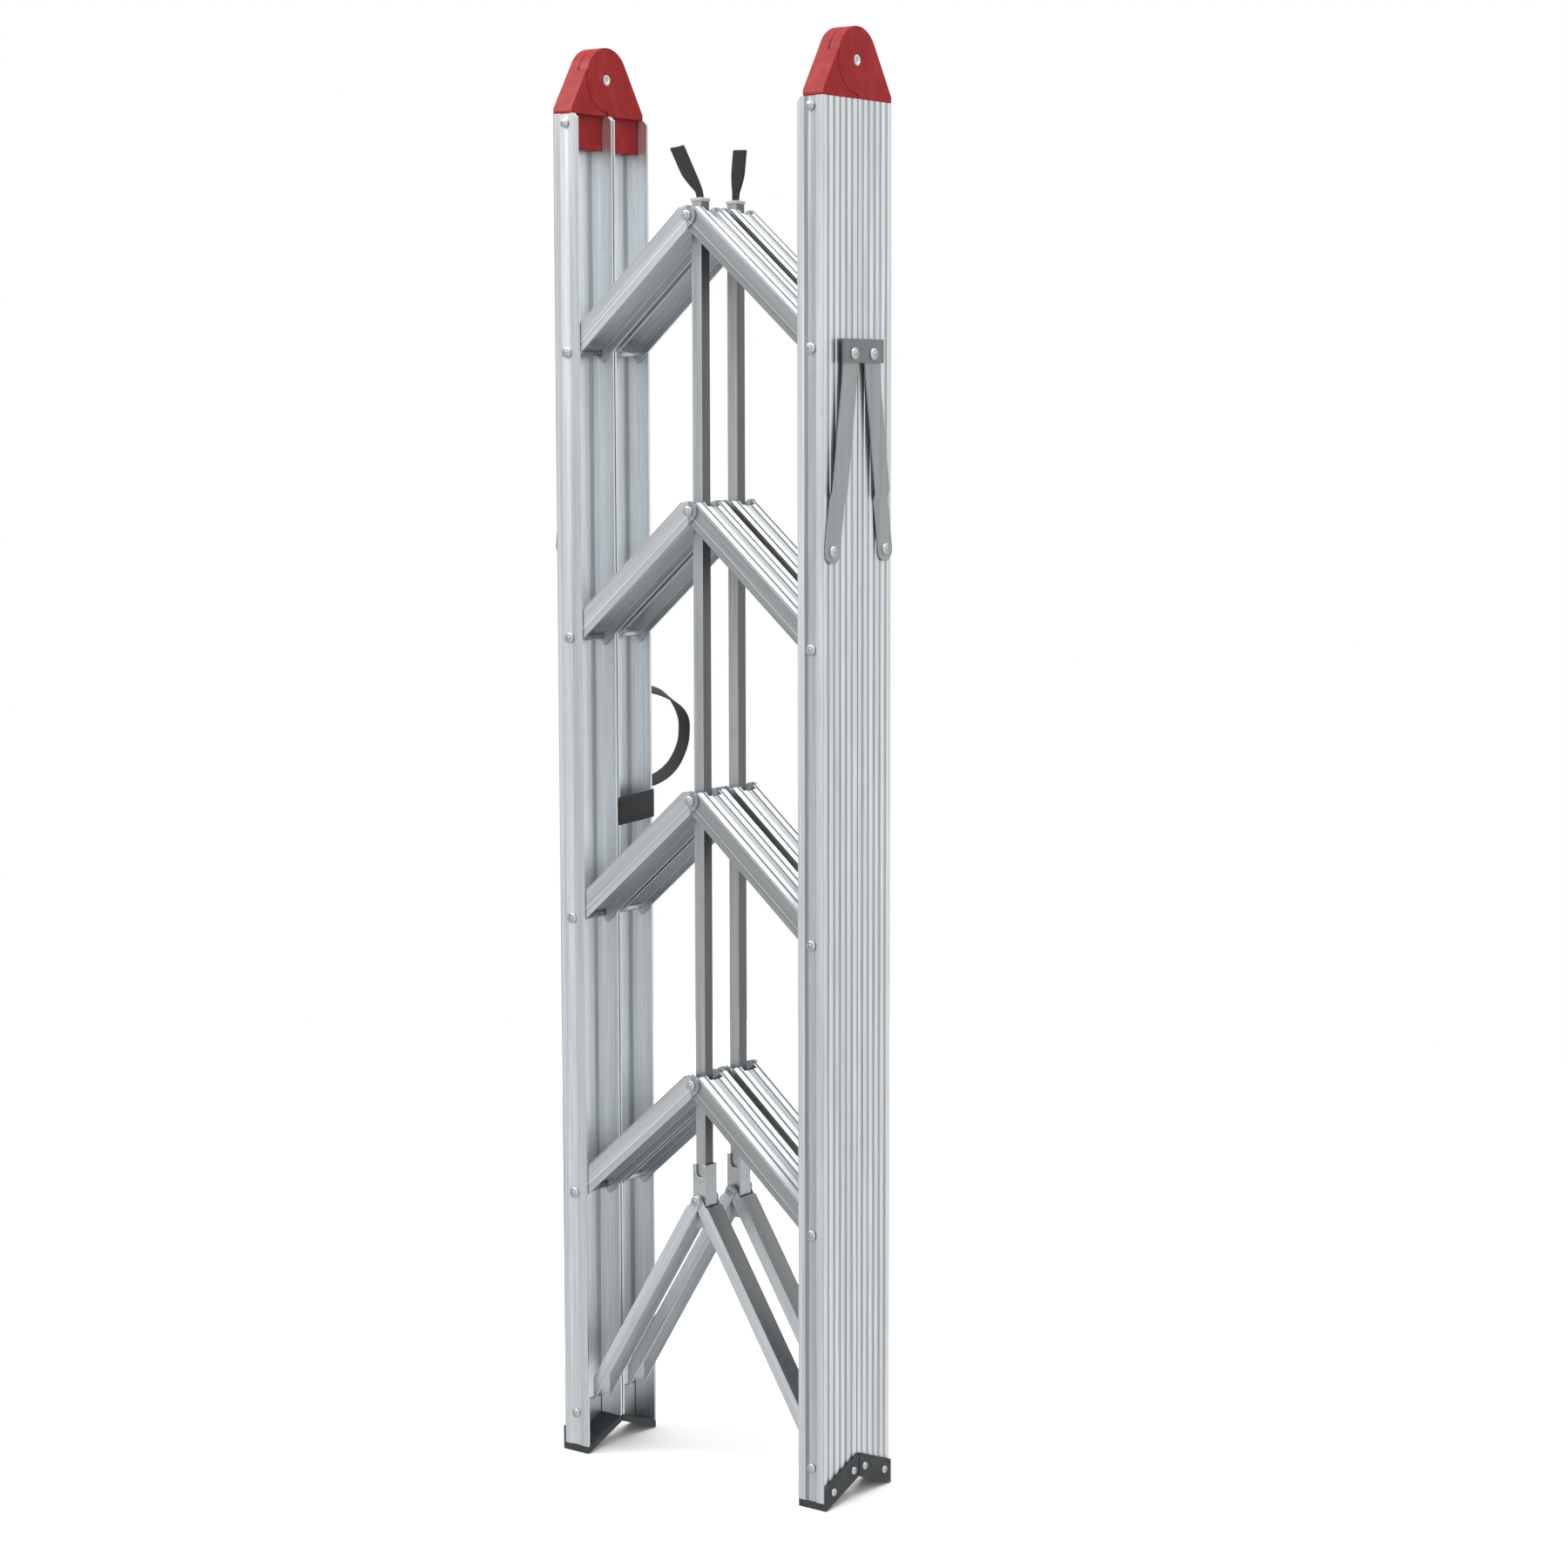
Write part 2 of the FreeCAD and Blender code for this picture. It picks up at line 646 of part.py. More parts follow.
def foot_liner(label, out):
    body = new_body(label)
    wide = "(leaf_depth / 2 - lip_thick - 0.4)"
    slope = "tan(sole_angle * 1deg)"
    start = "web_thick + rib_tall"
    plate = new_sketch(body, "YZ_Plane", start)
    outline(plate, [
        (f"{out} * {wide}", f"(leaf_depth / 2 - {wide}) * {slope}"),
        (f"{-out} * {wide}", f"(leaf_depth / 2 + {wide}) * {slope}"),
        (f"{-out} * {wide}", "liner_tall"),
        (f"{out} * {wide}", "liner_tall"),
    ])
    circle(plate, "0", "liner_tall - 13", "liner_hole")
    pad(body, plate, "liner_thick")
    return body


# ---- rivets and pins: groups of turned solids ----
def drum(group, radius, tall, axis, base):
    """One cylinder of a rivet, along an axis from a base point given as expressions."""
    piece = doc.addObject("Part::Cylinder", "drum")
    piece.setExpression("Radius", bound(radius))
    piece.setExpression("Height", bound(tall))
    piece.Placement = FreeCAD.Placement(
        FreeCAD.Vector(*[size(part) for part in base]),
        FreeCAD.Rotation(FreeCAD.Vector(0, 0, 1), FreeCAD.Vector(*axis)),
    )
    for name, part in zip("xyz", base):
        piece.setExpression(f"Placement.Base.{name}", bound(part))
    group.append(piece)
    return piece


def dome(group, radius, tall, axis, base):
    """A rivet head: a low cone on its face."""
    piece = doc.addObject("Part::Cone", "dome")
    piece.setExpression("Radius1", bound(radius))
    piece.setExpression("Radius2", bound(f"{radius} * 0.62"))
    piece.setExpression("Height", bound(tall))
    piece.Placement = FreeCAD.Placement(
        FreeCAD.Vector(*[size(part) for part in base]),
        FreeCAD.Rotation(FreeCAD.Vector(0, 0, 1), FreeCAD.Vector(*axis)),
    )
    for name, part in zip("xyz", base):
        piece.setExpression(f"Placement.Base.{name}", bound(part))
    group.append(piece)
    return piece


def joined(group, *pieces):
    """One solid out of a rivet's shank and its head."""
    whole = doc.addObject("Part::MultiFuse", "rivet")
    whole.Shapes = list(pieces)
    for piece in pieces:
        group.remove(piece)
    group.append(whole)


def compound(label, group):
    node = doc.addObject("Part::Compound", label)
    node.Label = label
    node.Links = group
    return node


def stile_rivets(label, out):
    """Rung pins, the two short rivets and the foot's rivets, in the stile's own frame."""
    group = []
    face = f"{out} * leaf_depth / 2"
    away = (0, out, 0)
    for i in range(4):
        height = f"first_pivot + {i} * rung_pitch"
        back = f"{-out} * leaf_depth / 2"
        shank = drum(group, "pin_radius", "leaf_depth", away, ("pivot_inset", back, height))
        head = dome(group, "dome_radius", "dome_tall", away, ("pivot_inset", face, height))
        joined(group, shank, head)
    for height in ("brace_rivet", "plug_rivet"):
        dome(group, "dome_radius * 0.85", "dome_tall", away, ("pivot_inset", face, height))
    slope = "tan(sole_angle * 1deg)"
    for way, reach in ((out, "0 - foot_rivet_near"), (-out, "foot_rivet_far")):
        across = f"foot_rivet_{'near' if way == out else 'far'} * {way}"
        height = f"(leaf_depth / 2 + {reach}) * {slope} + (foot_tall - sole_thick) / 2"
        dome(group, "foot_rivet", "1.4", (-1, 0, 0), ("0 - foot_plate", across, height))
    return compound(label, group)


def centre_pins(label):
    """Four pins through the bar, with a head outside the outer half-rung each side."""
    group = []
    reach = "outer_half + 0.3"
    for i in range(4):
        height = f"{i} * rung_pitch"
        shank = drum(
            group, "centre_pin", f"2 * ({reach})", (0, 1, 0), ("0", f"0 - ({reach})", height)
        )
        front = dome(group, "6.2", "1.8", (0, -1, 0), ("0", f"0 - ({reach})", height))
        rear = dome(group, "6.2", "1.8", (0, 1, 0), ("0", reach, height))
        joined(group, shank, front, rear)
    return compound(label, group)


# ---- spreaders: X runs out from the web, Z from the lower rivet to the upper one ----
def spreader_link(label, out):
    body = new_body(label)
    strip = new_sketch(body, "XZ_Plane")
    outline(strip, [
        (f"{out} * link_off", "0"),
        (f"{out} * (link_off + link_thick)", "0"),
        (f"{out} * (link_off + link_thick)", "step_at"),
        (f"{out} * (link_step + link_thick)", "step_at + step_run"),
        (f"{out} * (link_step + link_thick)", "link_long"),
        (f"{out} * link_step", "link_long"),
        (f"{out} * link_step", "step_at + step_run"),
        (f"{out} * link_off", "step_at"),
    ])
    pad(body, strip, "link_wide", middle=True)
    for start, height in (("link_off", "0"), ("link_step", "link_long")):
        end = new_sketch(body, "YZ_Plane", f"{out} * {start}")
        circle(end, "0", height, "link_wide / 2")
        pad(body, end, "link_thick", backwards=(out == -1))
    hole = new_sketch(body, "YZ_Plane")
    circle(hole, "0", "link_long", "spread_pin + pin_play")
    cut(body, hole)
    head = new_sketch(body, "YZ_Plane", f"{out} * link_off")
    circle(head, "0", "0", "spread_head")
    pad(body, head, "link_thick + spread_cap", backwards=(out == -1))
    return body


def spreader_plate(label, out):
    body = new_body(label)
    near = f"{out} * plate_off"
    far = f"{out} * (plate_off + link_thick)"
    fold_in = f"{out} * (link_step - 0.3)"
    side = new_sketch(body, "XZ_Plane")
    outline(side, [
        (near, "0 - plate_down"),
        (far, "0 - plate_down"),
        (far, "plate_up"),
        (fold_in, "plate_up"),
        (fold_in, "plate_lip"),
        (near, "plate_lip"),
    ])
    pad(body, side, "2 * plate_half", middle=True)
    for way in (-1, 1):
        shank = new_sketch(body, "YZ_Plane", f"{out} * (link_step - 0.1)")
        circle(shank, f"{way} * spread_top", "0", "spread_pin")
        pad(body, shank, "plate_off - link_step + 0.6", backwards=(out == -1))
        head = new_sketch(body, "YZ_Plane", f"{out} * (plate_off + link_thick - 0.5)")
        circle(head, f"{way} * spread_top", "0", "spread_head")
        pad(body, head, "spread_cap + 0.5", backwards=(out == -1))
    return body


# ---- webbing on the back left stile, in the stile's own frame ----
def carry_strap(label):
    """A loop of webbing that stands out behind the leaf."""
    body = new_body(label)
    face = "leaf_depth / 2"
    thick = "loop_thick"
    shape = [(0.0, 0.0), (0.55, 0.08), (0.92, 0.28), (1.0, 0.5), (0.78, 0.78), (0.4, 0.94)]
    path = [(f"{face} + {a} * loop_reach", f"loop_at - {b} * loop_tall") for a, b in shape]
    path.append((face, "loop_at - loop_tall"))
    back = [(face, f"loop_at - loop_tall + {thick}")]
    for a, b in reversed(shape[1:]):
        back.append((
            f"{face} + {a} * (loop_reach - {thick})",
            f"loop_at - loop_tall / 2 + {0.5 - b} * (loop_tall - 2 * {thick})",
        ))
    back.append((face, f"loop_at - {thick}"))
    loop = new_sketch(body, "YZ_Plane", "flange_width / 2 - loop_wide / 2")
    outline(loop, path + back)
    pad(body, loop, "loop_wide")
    return body


def strap_band(label):
    """A band round the stile's channel."""
    body = new_body(label)
    ring = new_sketch(body, "XY_Plane", "band_at")
    half = "leaf_depth / 2"
    play = "0.1"
    rectangle(ring, f"0 - {play}", f"0 - {half} - {play}", f"flange_width + {play}",
              f"{half} + {play}")
    rectangle(ring, f"0 - band_thick - {play}", f"0 - {half} - {play} - band_thick / 2",
              f"flange_width + {play} + band_thick", f"{half} + {play} + band_thick")
    pad(body, ring, "band_tall")
    return body


# ---- the ladder ----
for leaf in ("front", "back"):
    way = -1 if leaf == "front" else 1
    for side in ("left", "right"):
        out = outward(side, leaf)
        inward = 1 if side == "left" else -1
        home = side_placement(side, leaf_y[leaf], base_z)
        keep(stile(f"{leaf}_{side}_stile", out), home)
        keep(stile_rivets(f"{leaf}_{side}_rivets", out), home)
        keep(foot(f"{leaf}_{side}_foot", out), home)
        keep(foot_liner(f"{leaf}_{side}_foot_liner", out), home)
        middle_x = -inward * (web_x - size("hinge_wide") / 2)
        hinge = hinge_half(f"{leaf}_{side}_hinge_half", way, inward)
        keep(hinge, turned((middle_x, divide, axis_z)))
        half = "outer_half" if side == "left" else "inner_half"
        for number in range(4):
            rung = half_rung(f"{leaf}_{side}_rung_{number + 1}", half, -inward)
            height = base_z + size("first_pivot") + number * size("rung_pitch")
            angle = size("fold_angle")
            if side == "left":
                turns = [(BACKWARD, -angle)]
            else:
                turns = [(UP, 180), (BACKWARD, angle)]
            keep(rung, turned((-inward * pivot_x, leaf_y[leaf], height), *turns))
        width = "outer_brace" if side == "left" else "inner_brace"
        link = brace(f"{leaf}_{side}_brace", width)
        if side == "left":
            turns = [(UP, 180), (BACKWARD, -brace_slope)]
        else:
            turns = [(BACKWARD, brace_slope)]
        keep(link, turned((0, bar_y[leaf], bracket_z), *turns))
    low_end = bracket_z - size("bar_below")
    high_end = low_pin_z + 3 * size("rung_pitch") + size("bar_above")
    keep(centre_bar(f"{leaf}_centre_bar"), turned((0, bar_y[leaf], low_end)))
    keep(centre_pins(f"{leaf}_centre_pins"), turned((0, leaf_y[leaf], low_pin_z)))
    keep(bar_cap(f"{leaf}_bar_cap"), turned((0, bar_y[leaf], high_end)))
    lean = -1 if leaf == "front" else 0.25
    strap_z = high_end + size("cap_tall")
    keep(pull_strap(f"{leaf}_pull_strap", lean), turned((0, bar_y[leaf], strap_z)))
    keep(lock_bracket(f"{leaf}_lock_bracket"), turned((0, bar_y[leaf], bracket_z)))

for side, out in (("left", -1), ("right", 1)):
    middle_x = out * (web_x - size("hinge_wide") / 2)
    keep(hinge_bolt(f"{side}_hinge_bolt"), turned((middle_x, divide, axis_z)))
    low_z = axis_z - size("spread_drop")
    reach = size("spread_low") - size("spread_top")
    climb = math.sqrt(size("link_long") ** 2 - reach ** 2)
    tilt = math.degrees(math.atan2(reach, climb))
    for leaf, way in (("front", -1), ("back", 1)):
        link = spreader_link(f"{leaf}_{side}_spreader_link", out)
        base = (out * web_x, divide + way * size("spread_low"), low_z)
        keep(link, turned(base, ((1, 0, 0), way * tilt)))
    plate = spreader_plate(f"{side}_spreader_plate", out)
    keep(plate, turned((out * web_x, divide, low_z + climb)))

back_left = side_placement("left", leaf_y["back"], base_z)
keep(carry_strap("carry_strap"), back_left)
keep(strap_band("strap_band"), back_left)

doc.recompute()
faults = []
for thing in doc.Objects:
    if "Invalid" in thing.State or "Error" in thing.State:
        faults.append(thing.Name)
for node in nodes:
    if node.Shape.isNull() or not node.Shape.isValid() or not node.Shape.Solids:
        faults.append(node.Label)
if faults:
    raise RuntimeError("these did not build: " + ", ".join(faults))
os.makedirs("parts", exist_ok=True)
for node in nodes:
    node.Shape.exportStep(os.path.join("parts", node.Label + ".step"))
print(len(nodes), "nodes")
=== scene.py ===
"""Looks of a double-sided folding step ladder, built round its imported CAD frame, in metres."""

import json
import math

import bmesh
import bpy
from mathutils import Matrix, Vector


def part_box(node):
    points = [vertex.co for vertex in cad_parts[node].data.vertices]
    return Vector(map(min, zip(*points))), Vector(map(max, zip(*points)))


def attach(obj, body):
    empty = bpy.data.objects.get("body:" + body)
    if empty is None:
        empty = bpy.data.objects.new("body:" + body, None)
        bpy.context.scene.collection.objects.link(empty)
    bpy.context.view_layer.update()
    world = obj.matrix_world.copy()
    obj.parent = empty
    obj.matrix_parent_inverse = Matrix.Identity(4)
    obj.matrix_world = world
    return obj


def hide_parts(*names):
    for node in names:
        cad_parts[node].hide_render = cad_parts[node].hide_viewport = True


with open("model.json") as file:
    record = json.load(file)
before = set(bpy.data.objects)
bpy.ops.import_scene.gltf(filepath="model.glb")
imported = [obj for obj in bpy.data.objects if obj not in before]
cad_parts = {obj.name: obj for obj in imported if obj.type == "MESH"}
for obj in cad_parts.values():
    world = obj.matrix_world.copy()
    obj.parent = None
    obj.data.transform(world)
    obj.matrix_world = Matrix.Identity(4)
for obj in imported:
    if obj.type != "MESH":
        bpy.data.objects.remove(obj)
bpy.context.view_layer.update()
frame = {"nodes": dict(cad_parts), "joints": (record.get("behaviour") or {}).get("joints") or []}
nodes = frame["nodes"]

MM = 0.001
LEAVES = ("front", "back")
SIDES = ("left", "right")
RUNGS = (1, 2, 3, 4)
SAME_PLACE = 1e-6

# ---- camera ----
CAMERA_PLACE = (2.093, -2.7614, 1.140)
CAMERA_TURN = 36.45
CAMERA_TILT = 6.49
CAMERA_ROLL = -0.10
CAMERA_LENS = 74.32


def turn(degrees, axis):
    return Matrix.Rotation(math.radians(degrees), 4, axis)


lens = bpy.data.cameras.new("studio_camera")
lens.lens = CAMERA_LENS
lens.sensor_width = 36
lens.clip_start = 0.05
lens.clip_end = 200
camera = bpy.data.objects.new("studio_camera", lens)
camera.matrix_world = (
    Matrix.Translation(CAMERA_PLACE)
    @ turn(CAMERA_TURN, "Z")
    @ turn(90 - CAMERA_TILT, "X")
    @ turn(CAMERA_ROLL, "Z")
)
bpy.context.scene.collection.objects.link(camera)
bpy.context.scene.camera = camera

# ---- places, and slopes in degrees at rest, that the materials and rivets need ----
joints = {joint["name"]: joint for joint in frame["joints"]}
lowest = joints[f"front_left_rung_hinge_{RUNGS[0]}"]
highest = joints[f"front_left_rung_hinge_{RUNGS[-1]}"]
WEB_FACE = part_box("front_right_stile")[1].x
DIVIDE = joints["aframe_open"]["pos_m"][1]
LEAF_OFFSET = DIVIDE - lowest["pos_m"][1]
PIVOT_X = abs(lowest["pos_m"][0])
FIRST_PIVOT_Z = lowest["pos_m"][2]
RUNG_PITCH = (highest["pos_m"][2] - FIRST_PIVOT_Z) / (len(RUNGS) - 1)
RUNG_SLOPE = -lowest["range_deg"][0]
BRACE_SLOPE = 58.3
FLUTE_PITCH = 10.4 * MM
# no point of a half-rung is further than this below its lower pivot
BELOW_PIVOT = 60 * MM

# the rail's painted shade and painted light are laid at these places on the stile's section
# depth in from a stile's web face: a middle and a half width, or one limit
FLUTE_FLOOR = (0.7 * MM, 0.4 * MM)
RECESS = (14.8 * MM, 5.0 * MM)
RECESS_SLOPE = (22.0 * MM, 2.2 * MM)
LIP_FROM = 24.2 * MM
WEB_BACK = 1.3 * MM
CORNER_TO = 5.5 * MM
# distance from the middle plane of a leaf
FLANGE_FROM = 28.0 * MM
CORNER_FADE = (12 * MM, 26 * MM)
CORNER_LINE = (25.2 * MM, 26.4 * MM)

# the tread's painted shade, painted shadow under the rib and painted highlight on the rib are laid in
# these bands
# height above a half-rung's line of pivots: a middle and a half width, or one limit
GRIP_GROOVE = (11.9 * MM, 0.5 * MM)
SIDE_RIB = (-3.0 * MM, 0.45 * MM)
UNDER_RIB = (-4.1 * MM, 0.5 * MM)
SIDE_PLATE_TO = 10.5 * MM

# brightness of the painted shade on the faces of a brace and a centre bar that are darker than the rest
PAINTED_SHADE_LEVEL = 0.34


# ---- material helpers ----
class Finish:
    """A node material under construction."""

    def __init__(self, name):
        self.material = bpy.data.materials.new(name)
        self.material.use_nodes = True
        self.tree = self.material.node_tree
        self.shader = self.tree.nodes["Principled BSDF"]
        self.coords = self.add("ShaderNodeTexCoord")

    def add(self, kind, settings=None, **inputs):
        """Adds a node with its settings and its inputs."""
        node = self.tree.nodes.new(kind)
        for key, value in (settings or {}).items():
            setattr(node, key, value)
        for key, value in inputs.items():
            self.feed(node, key.replace("_", " "), value)
        return node

    def feed(self, node, socket, value):
        """Links an output into a socket, or sets the socket's own value."""
        place = node.inputs[socket]
        if isinstance(value, bpy.types.NodeSocket):
            self.tree.links.new(value, place)
        else:
            place.default_value = value

    def set(self, **inputs):
        """Feeds the shader's own sockets."""
        for key, value in inputs.items():
            self.feed(self.shader, key.replace("_", " "), value)

    def along(self, lean, stretch):
        """Object coordinates stretched along a direction that leans from Z towards X."""
        mapping = self.add("ShaderNodeMapping", {"vector_type": "TEXTURE"})
        mapping.inputs["Rotation"].default_value = (0, math.radians(lean), 0)
        mapping.inputs["Scale"].default_value = (1, 1, stretch)
        self.feed(mapping, "Vector", self.coords.outputs["Object"])
        return mapping.outputs["Vector"]

    def noise(self, vector, scale, detail, rough):
        node = self.add("ShaderNodeTexNoise", Vector=vector, Scale=scale, Detail=detail, Roughness=rough)
        return node.outputs["Fac"]

    def ramp(self, value, stops):
        """A colour ramp through (position, colour) stops."""
        node = self.add("ShaderNodeValToRGB", Fac=value)
        ramp = node.color_ramp
        while len(ramp.elements) < len(stops):
            ramp.elements.new(0.5)
        for element, (position, colour) in zip(ramp.elements, stops):
            element.position = position
            element.color = (*colour, 1)
        return node.outputs["Color"]

    def math(self, operation, *values):
        node = self.add("ShaderNodeMath", {"operation": operation})
        for index, value in enumerate(values):
            self.feed(node, index, value)
        return node.outputs[0]

    def product(self, first, *others):
        """All the values multiplied together."""
        for value in others:
            first = self.math("MULTIPLY", first, value)
        return first

    def parts(self, coordinates):
        """The X, Y and Z of the named texture coordinates."""
        split = self.add("ShaderNodeSeparateXYZ", Vector=self.coords.outputs[coordinates])
        return [split.outputs[axis] for axis in "XYZ"]

    def lower(self, mask, factor):
        """A brightness of 1 outside a mask and of factor inside it."""
        rest = self.math("SUBTRACT", 1.0, mask)
        return self.math("ADD", rest, self.math("MULTIPLY", mask, factor))

    def fit(self, value, low, high, start=0.0, end=1.0):
        """Maps a value from the range start to end onto the range low to high."""
        node = self.add("ShaderNodeMapRange")
        self.feed(node, "Value", value)
        for socket, number in (("From Min", start), ("From Max", end), ("To Min", low), ("To Max", high)):
            node.inputs[socket].default_value = number
        return node.outputs["Result"]

    def multiply(self, first, second):
        """Two colours multiplied together."""
        node = self.add("ShaderNodeMix", {"data_type": "RGBA", "blend_type": "MULTIPLY"})
        self.feed(node, "Factor", 1.0)
        for socket, value in (("A", first), ("B", second)):
            place = [s for s in node.inputs if s.name == socket and s.type == "RGBA"][0]
            self.tree.links.new(value, place)
        return [s for s in node.outputs if s.type == "RGBA"][0]

    def bump(self, height, strength, distance):
        node = self.add("ShaderNodeBump")
        self.feed(node, "Height", height)
        node.inputs["Strength"].default_value = strength
        node.inputs["Distance"].default_value = distance
        self.feed(self.shader, "Normal", node.outputs["Normal"])


def grey(value, tint=0.0):
    """A grey, slightly cooler as tint rises."""
    return (value * (1 - tint), value, value * (1 + 0.6 * tint))


def extruded(name, lean, tone, gloss, contrast=1.0, detail=None):
    """Mill-finish aluminium: fine die lines and broader bands along the extrusion, and scuffs.
    lean is the extrusion's angle from upright in degrees, tone its brightness, gloss its roughness.
    detail gives painted shade and painted light as a further brightness factor, from the place on the
    section or the way a face points."""
    f = Finish(name)
    fine = f.noise(f.along(lean, stretch=120), scale=900, detail=3, rough=0.6)
    broad = f.noise(f.along(lean, stretch=60), scale=110, detail=2, rough=0.5)
    scuff = f.noise(f.coords.outputs["Object"], scale=38, detail=6, rough=0.68)
    dark = grey(tone * (1 - 0.20 * contrast), 0.045)
    light = grey(min(1, tone * (1 + 0.10 * contrast)), 0.030)
    base = f.ramp(fine, [(0.30, dark), (0.52, grey(tone, 0.038)), (0.72, light)])
    bands = f.ramp(broad, [(0.30, grey(0.88)), (0.62, grey(1.0))])
    marks = f.ramp(scuff, [(0.30, grey(0.92)), (0.38, grey(1.0))])
    toned = f.multiply(f.multiply(base, bands), marks)
    # painted shade and painted light multiplied into the colour
    if detail:
        toned = f.multiply(toned, detail(f))
    f.set(Base_Color=toned)
    f.set(Metallic=0.92, Roughness=f.fit(broad, gloss - 0.06, gloss + 0.09, 0.3, 0.7))
    f.bump(fine, strength=0.22, distance=0.12 * MM)
    return f.material


def rail_painted_shade(f):
    """Painted shade in the flute hollows of the webs; painted light and shade on the recess, its slope
    and the lip of each flange, set apart for the left and the right stiles; painted shade in the inside
    corners and painted light over the rest of the inside."""
    x, y, _ = f.parts("Object")
    depth = f.math("SUBTRACT", WEB_FACE, f.math("ABSOLUTE", x))
    beside = f.math("SUBTRACT", f.math("ABSOLUTE", f.math("SUBTRACT", y, DIVIDE)), LEAF_OFFSET)
    off = f.math("ABSOLUTE", beside)
    right = f.math("GREATER_THAN", x, 0.0)

    turns = f.math("ADD", f.math("DIVIDE", beside, FLUTE_PITCH), 0.5)
    phase = f.math("ABSOLUTE", f.math("SUBTRACT", f.math("FRACT", turns), 0.5))
    # painted shade: the flute hollows darker towards their middle
    flute_painted_shade = f.fit(phase, low=0.54, high=0.84, start=0.04, end=0.32)
    flutes = f.lower(f.math("COMPARE", depth, *FLUTE_FLOOR), flute_painted_shade)

    # masks for the flange recess, its slope and its lip, which take painted light and shade below
    outside = f.math("GREATER_THAN", off, FLANGE_FROM)
    recess = f.product(outside, f.math("COMPARE", depth, *RECESS))
    slope = f.product(outside, f.math("COMPARE", depth, *RECESS_SLOPE))
    lip = f.product(outside, f.math("GREATER_THAN", depth, LIP_FROM))

    # inside each channel: painted shade that deepens towards the inside corner, and painted light over
    # the whole inside
    inside = f.product(f.math("LESS_THAN", off, FLANGE_FROM), f.math("GREATER_THAN", depth, WEB_BACK))
    corner = f.product(inside, f.math("LESS_THAN", depth, CORNER_TO))
    shade = f.product(f.fit(off, 1.0, 0.72, *CORNER_FADE), f.fit(off, 1.0, 0.88, *CORNER_LINE))

    # painted shade and light multiplied together: in each fit the first factor is for the left stiles and
    # the second for the right stiles
    return f.product(
        flutes,
        f.lower(recess, f.fit(right, 1.08, 0.76)),
        f.lower(slope, f.fit(right, 0.92, 0.42)),
        f.lower(lip, f.fit(right, 0.90, 0.98)),
        f.lower(corner, shade),
        f.lower(inside, 1.14),
    )


def rung_height(f):
    """Height of a point above the line of pivots of its own half-rung."""
    x, _, z = f.parts("Object")
    run = f.math("SUBTRACT", PIVOT_X, f.math("ABSOLUTE", x))
    above = f.math("MODULO", f.math("SUBTRACT", z, FIRST_PIVOT_Z - BELOW_PIVOT), RUNG_PITCH)
    above = f.math("SUBTRACT", above, BELOW_PIVOT)
    slope = math.radians(RUNG_SLOPE)
    up = f.math("MULTIPLY", above, math.cos(slope))
    return f.math("SUBTRACT", up, f.math("MULTIPLY", run, math.sin(slope)))


def tread_painted_shade_and_highlight(f):
    """Painted shade in the grip grooves of the tread and on the side plates, deeper on the right
    half-rungs, a painted highlight on the rib low on each side plate, and a painted shadow just under it.
    """
    height = rung_height(f)
    groove = f.math("COMPARE", height, *GRIP_GROOVE)
    rib = f.math("COMPARE", height, *SIDE_RIB)
    below = f.math("COMPARE", height, *UNDER_RIB)
    side = f.math("LESS_THAN", height, SIDE_PLATE_TO)
    right = f.math("GREATER_THAN", f.parts("Object")[0], 0.0)
    # painted shade in the grooves, painted shadow under the rib, and painted shade on the side plates:
    # 0.86 on the left half-rungs, 0.52 on the right
    factor = f.product(
        f.lower(groove, 0.50),
        f.lower(below, 0.72),
        f.lower(side, f.fit(right, 0.86, 0.52)),
    )
    # painted highlight on the rib
    return f.math("ADD", factor, f.math("MULTIPLY", rib, 0.5))


def brace_painted_shade(f):
    """Painted shade on the closed face of a brace, so that it is darker than its flanges; the face is
    picked by the way it points.
    """
    x, _, z = f.parts("Normal")
    slope = math.radians(BRACE_SLOPE)
    out = f.math("MULTIPLY", f.math("ABSOLUTE", x), math.sin(slope))
    facing = f.math("ADD", out, f.math("MULTIPLY", z, math.cos(slope)))
    return f.lower(f.math("GREATER_THAN", facing, 0.9), PAINTED_SHADE_LEVEL)


def bar_painted_shade(f):
    """Painted shade on the sides of the centre bar, so that they are darker than its front and back; the
    sides are picked by the way they point.
    """
    x = f.parts("Normal")[0]
    return f.lower(f.math("GREATER_THAN", f.math("ABSOLUTE", x), 0.8), PAINTED_SHADE_LEVEL)


def folded_steel(name, tone, gloss):
    """Zinc-plated sheet with soft spangle and handling marks."""
    f = Finish(name)
    place = f.coords.outputs["Object"]
    cells = f.add("ShaderNodeTexVoronoi", {"feature": "SMOOTH_F1"}, Vector=place, Scale=260)
    cloud = f.noise(place, scale=90, detail=4, rough=0.6)
    light = grey(tone * 1.03, 0.03)
    dark = grey(tone * 0.93, 0.045)
    spangle = f.ramp(cells.outputs["Distance"], [(0.1, light), (0.8, dark)])
    wear = f.ramp(cloud, [(0.34, grey(0.88)), (0.5, grey(1.0))])
    f.set(Base_Color=f.multiply(spangle, wear))
    f.set(Metallic=0.9, Roughness=f.fit(cloud, gloss - 0.06, gloss + 0.12, 0.3, 0.7))
    f.bump(cloud, strength=0.2, distance=0.15 * MM)
    return f.material


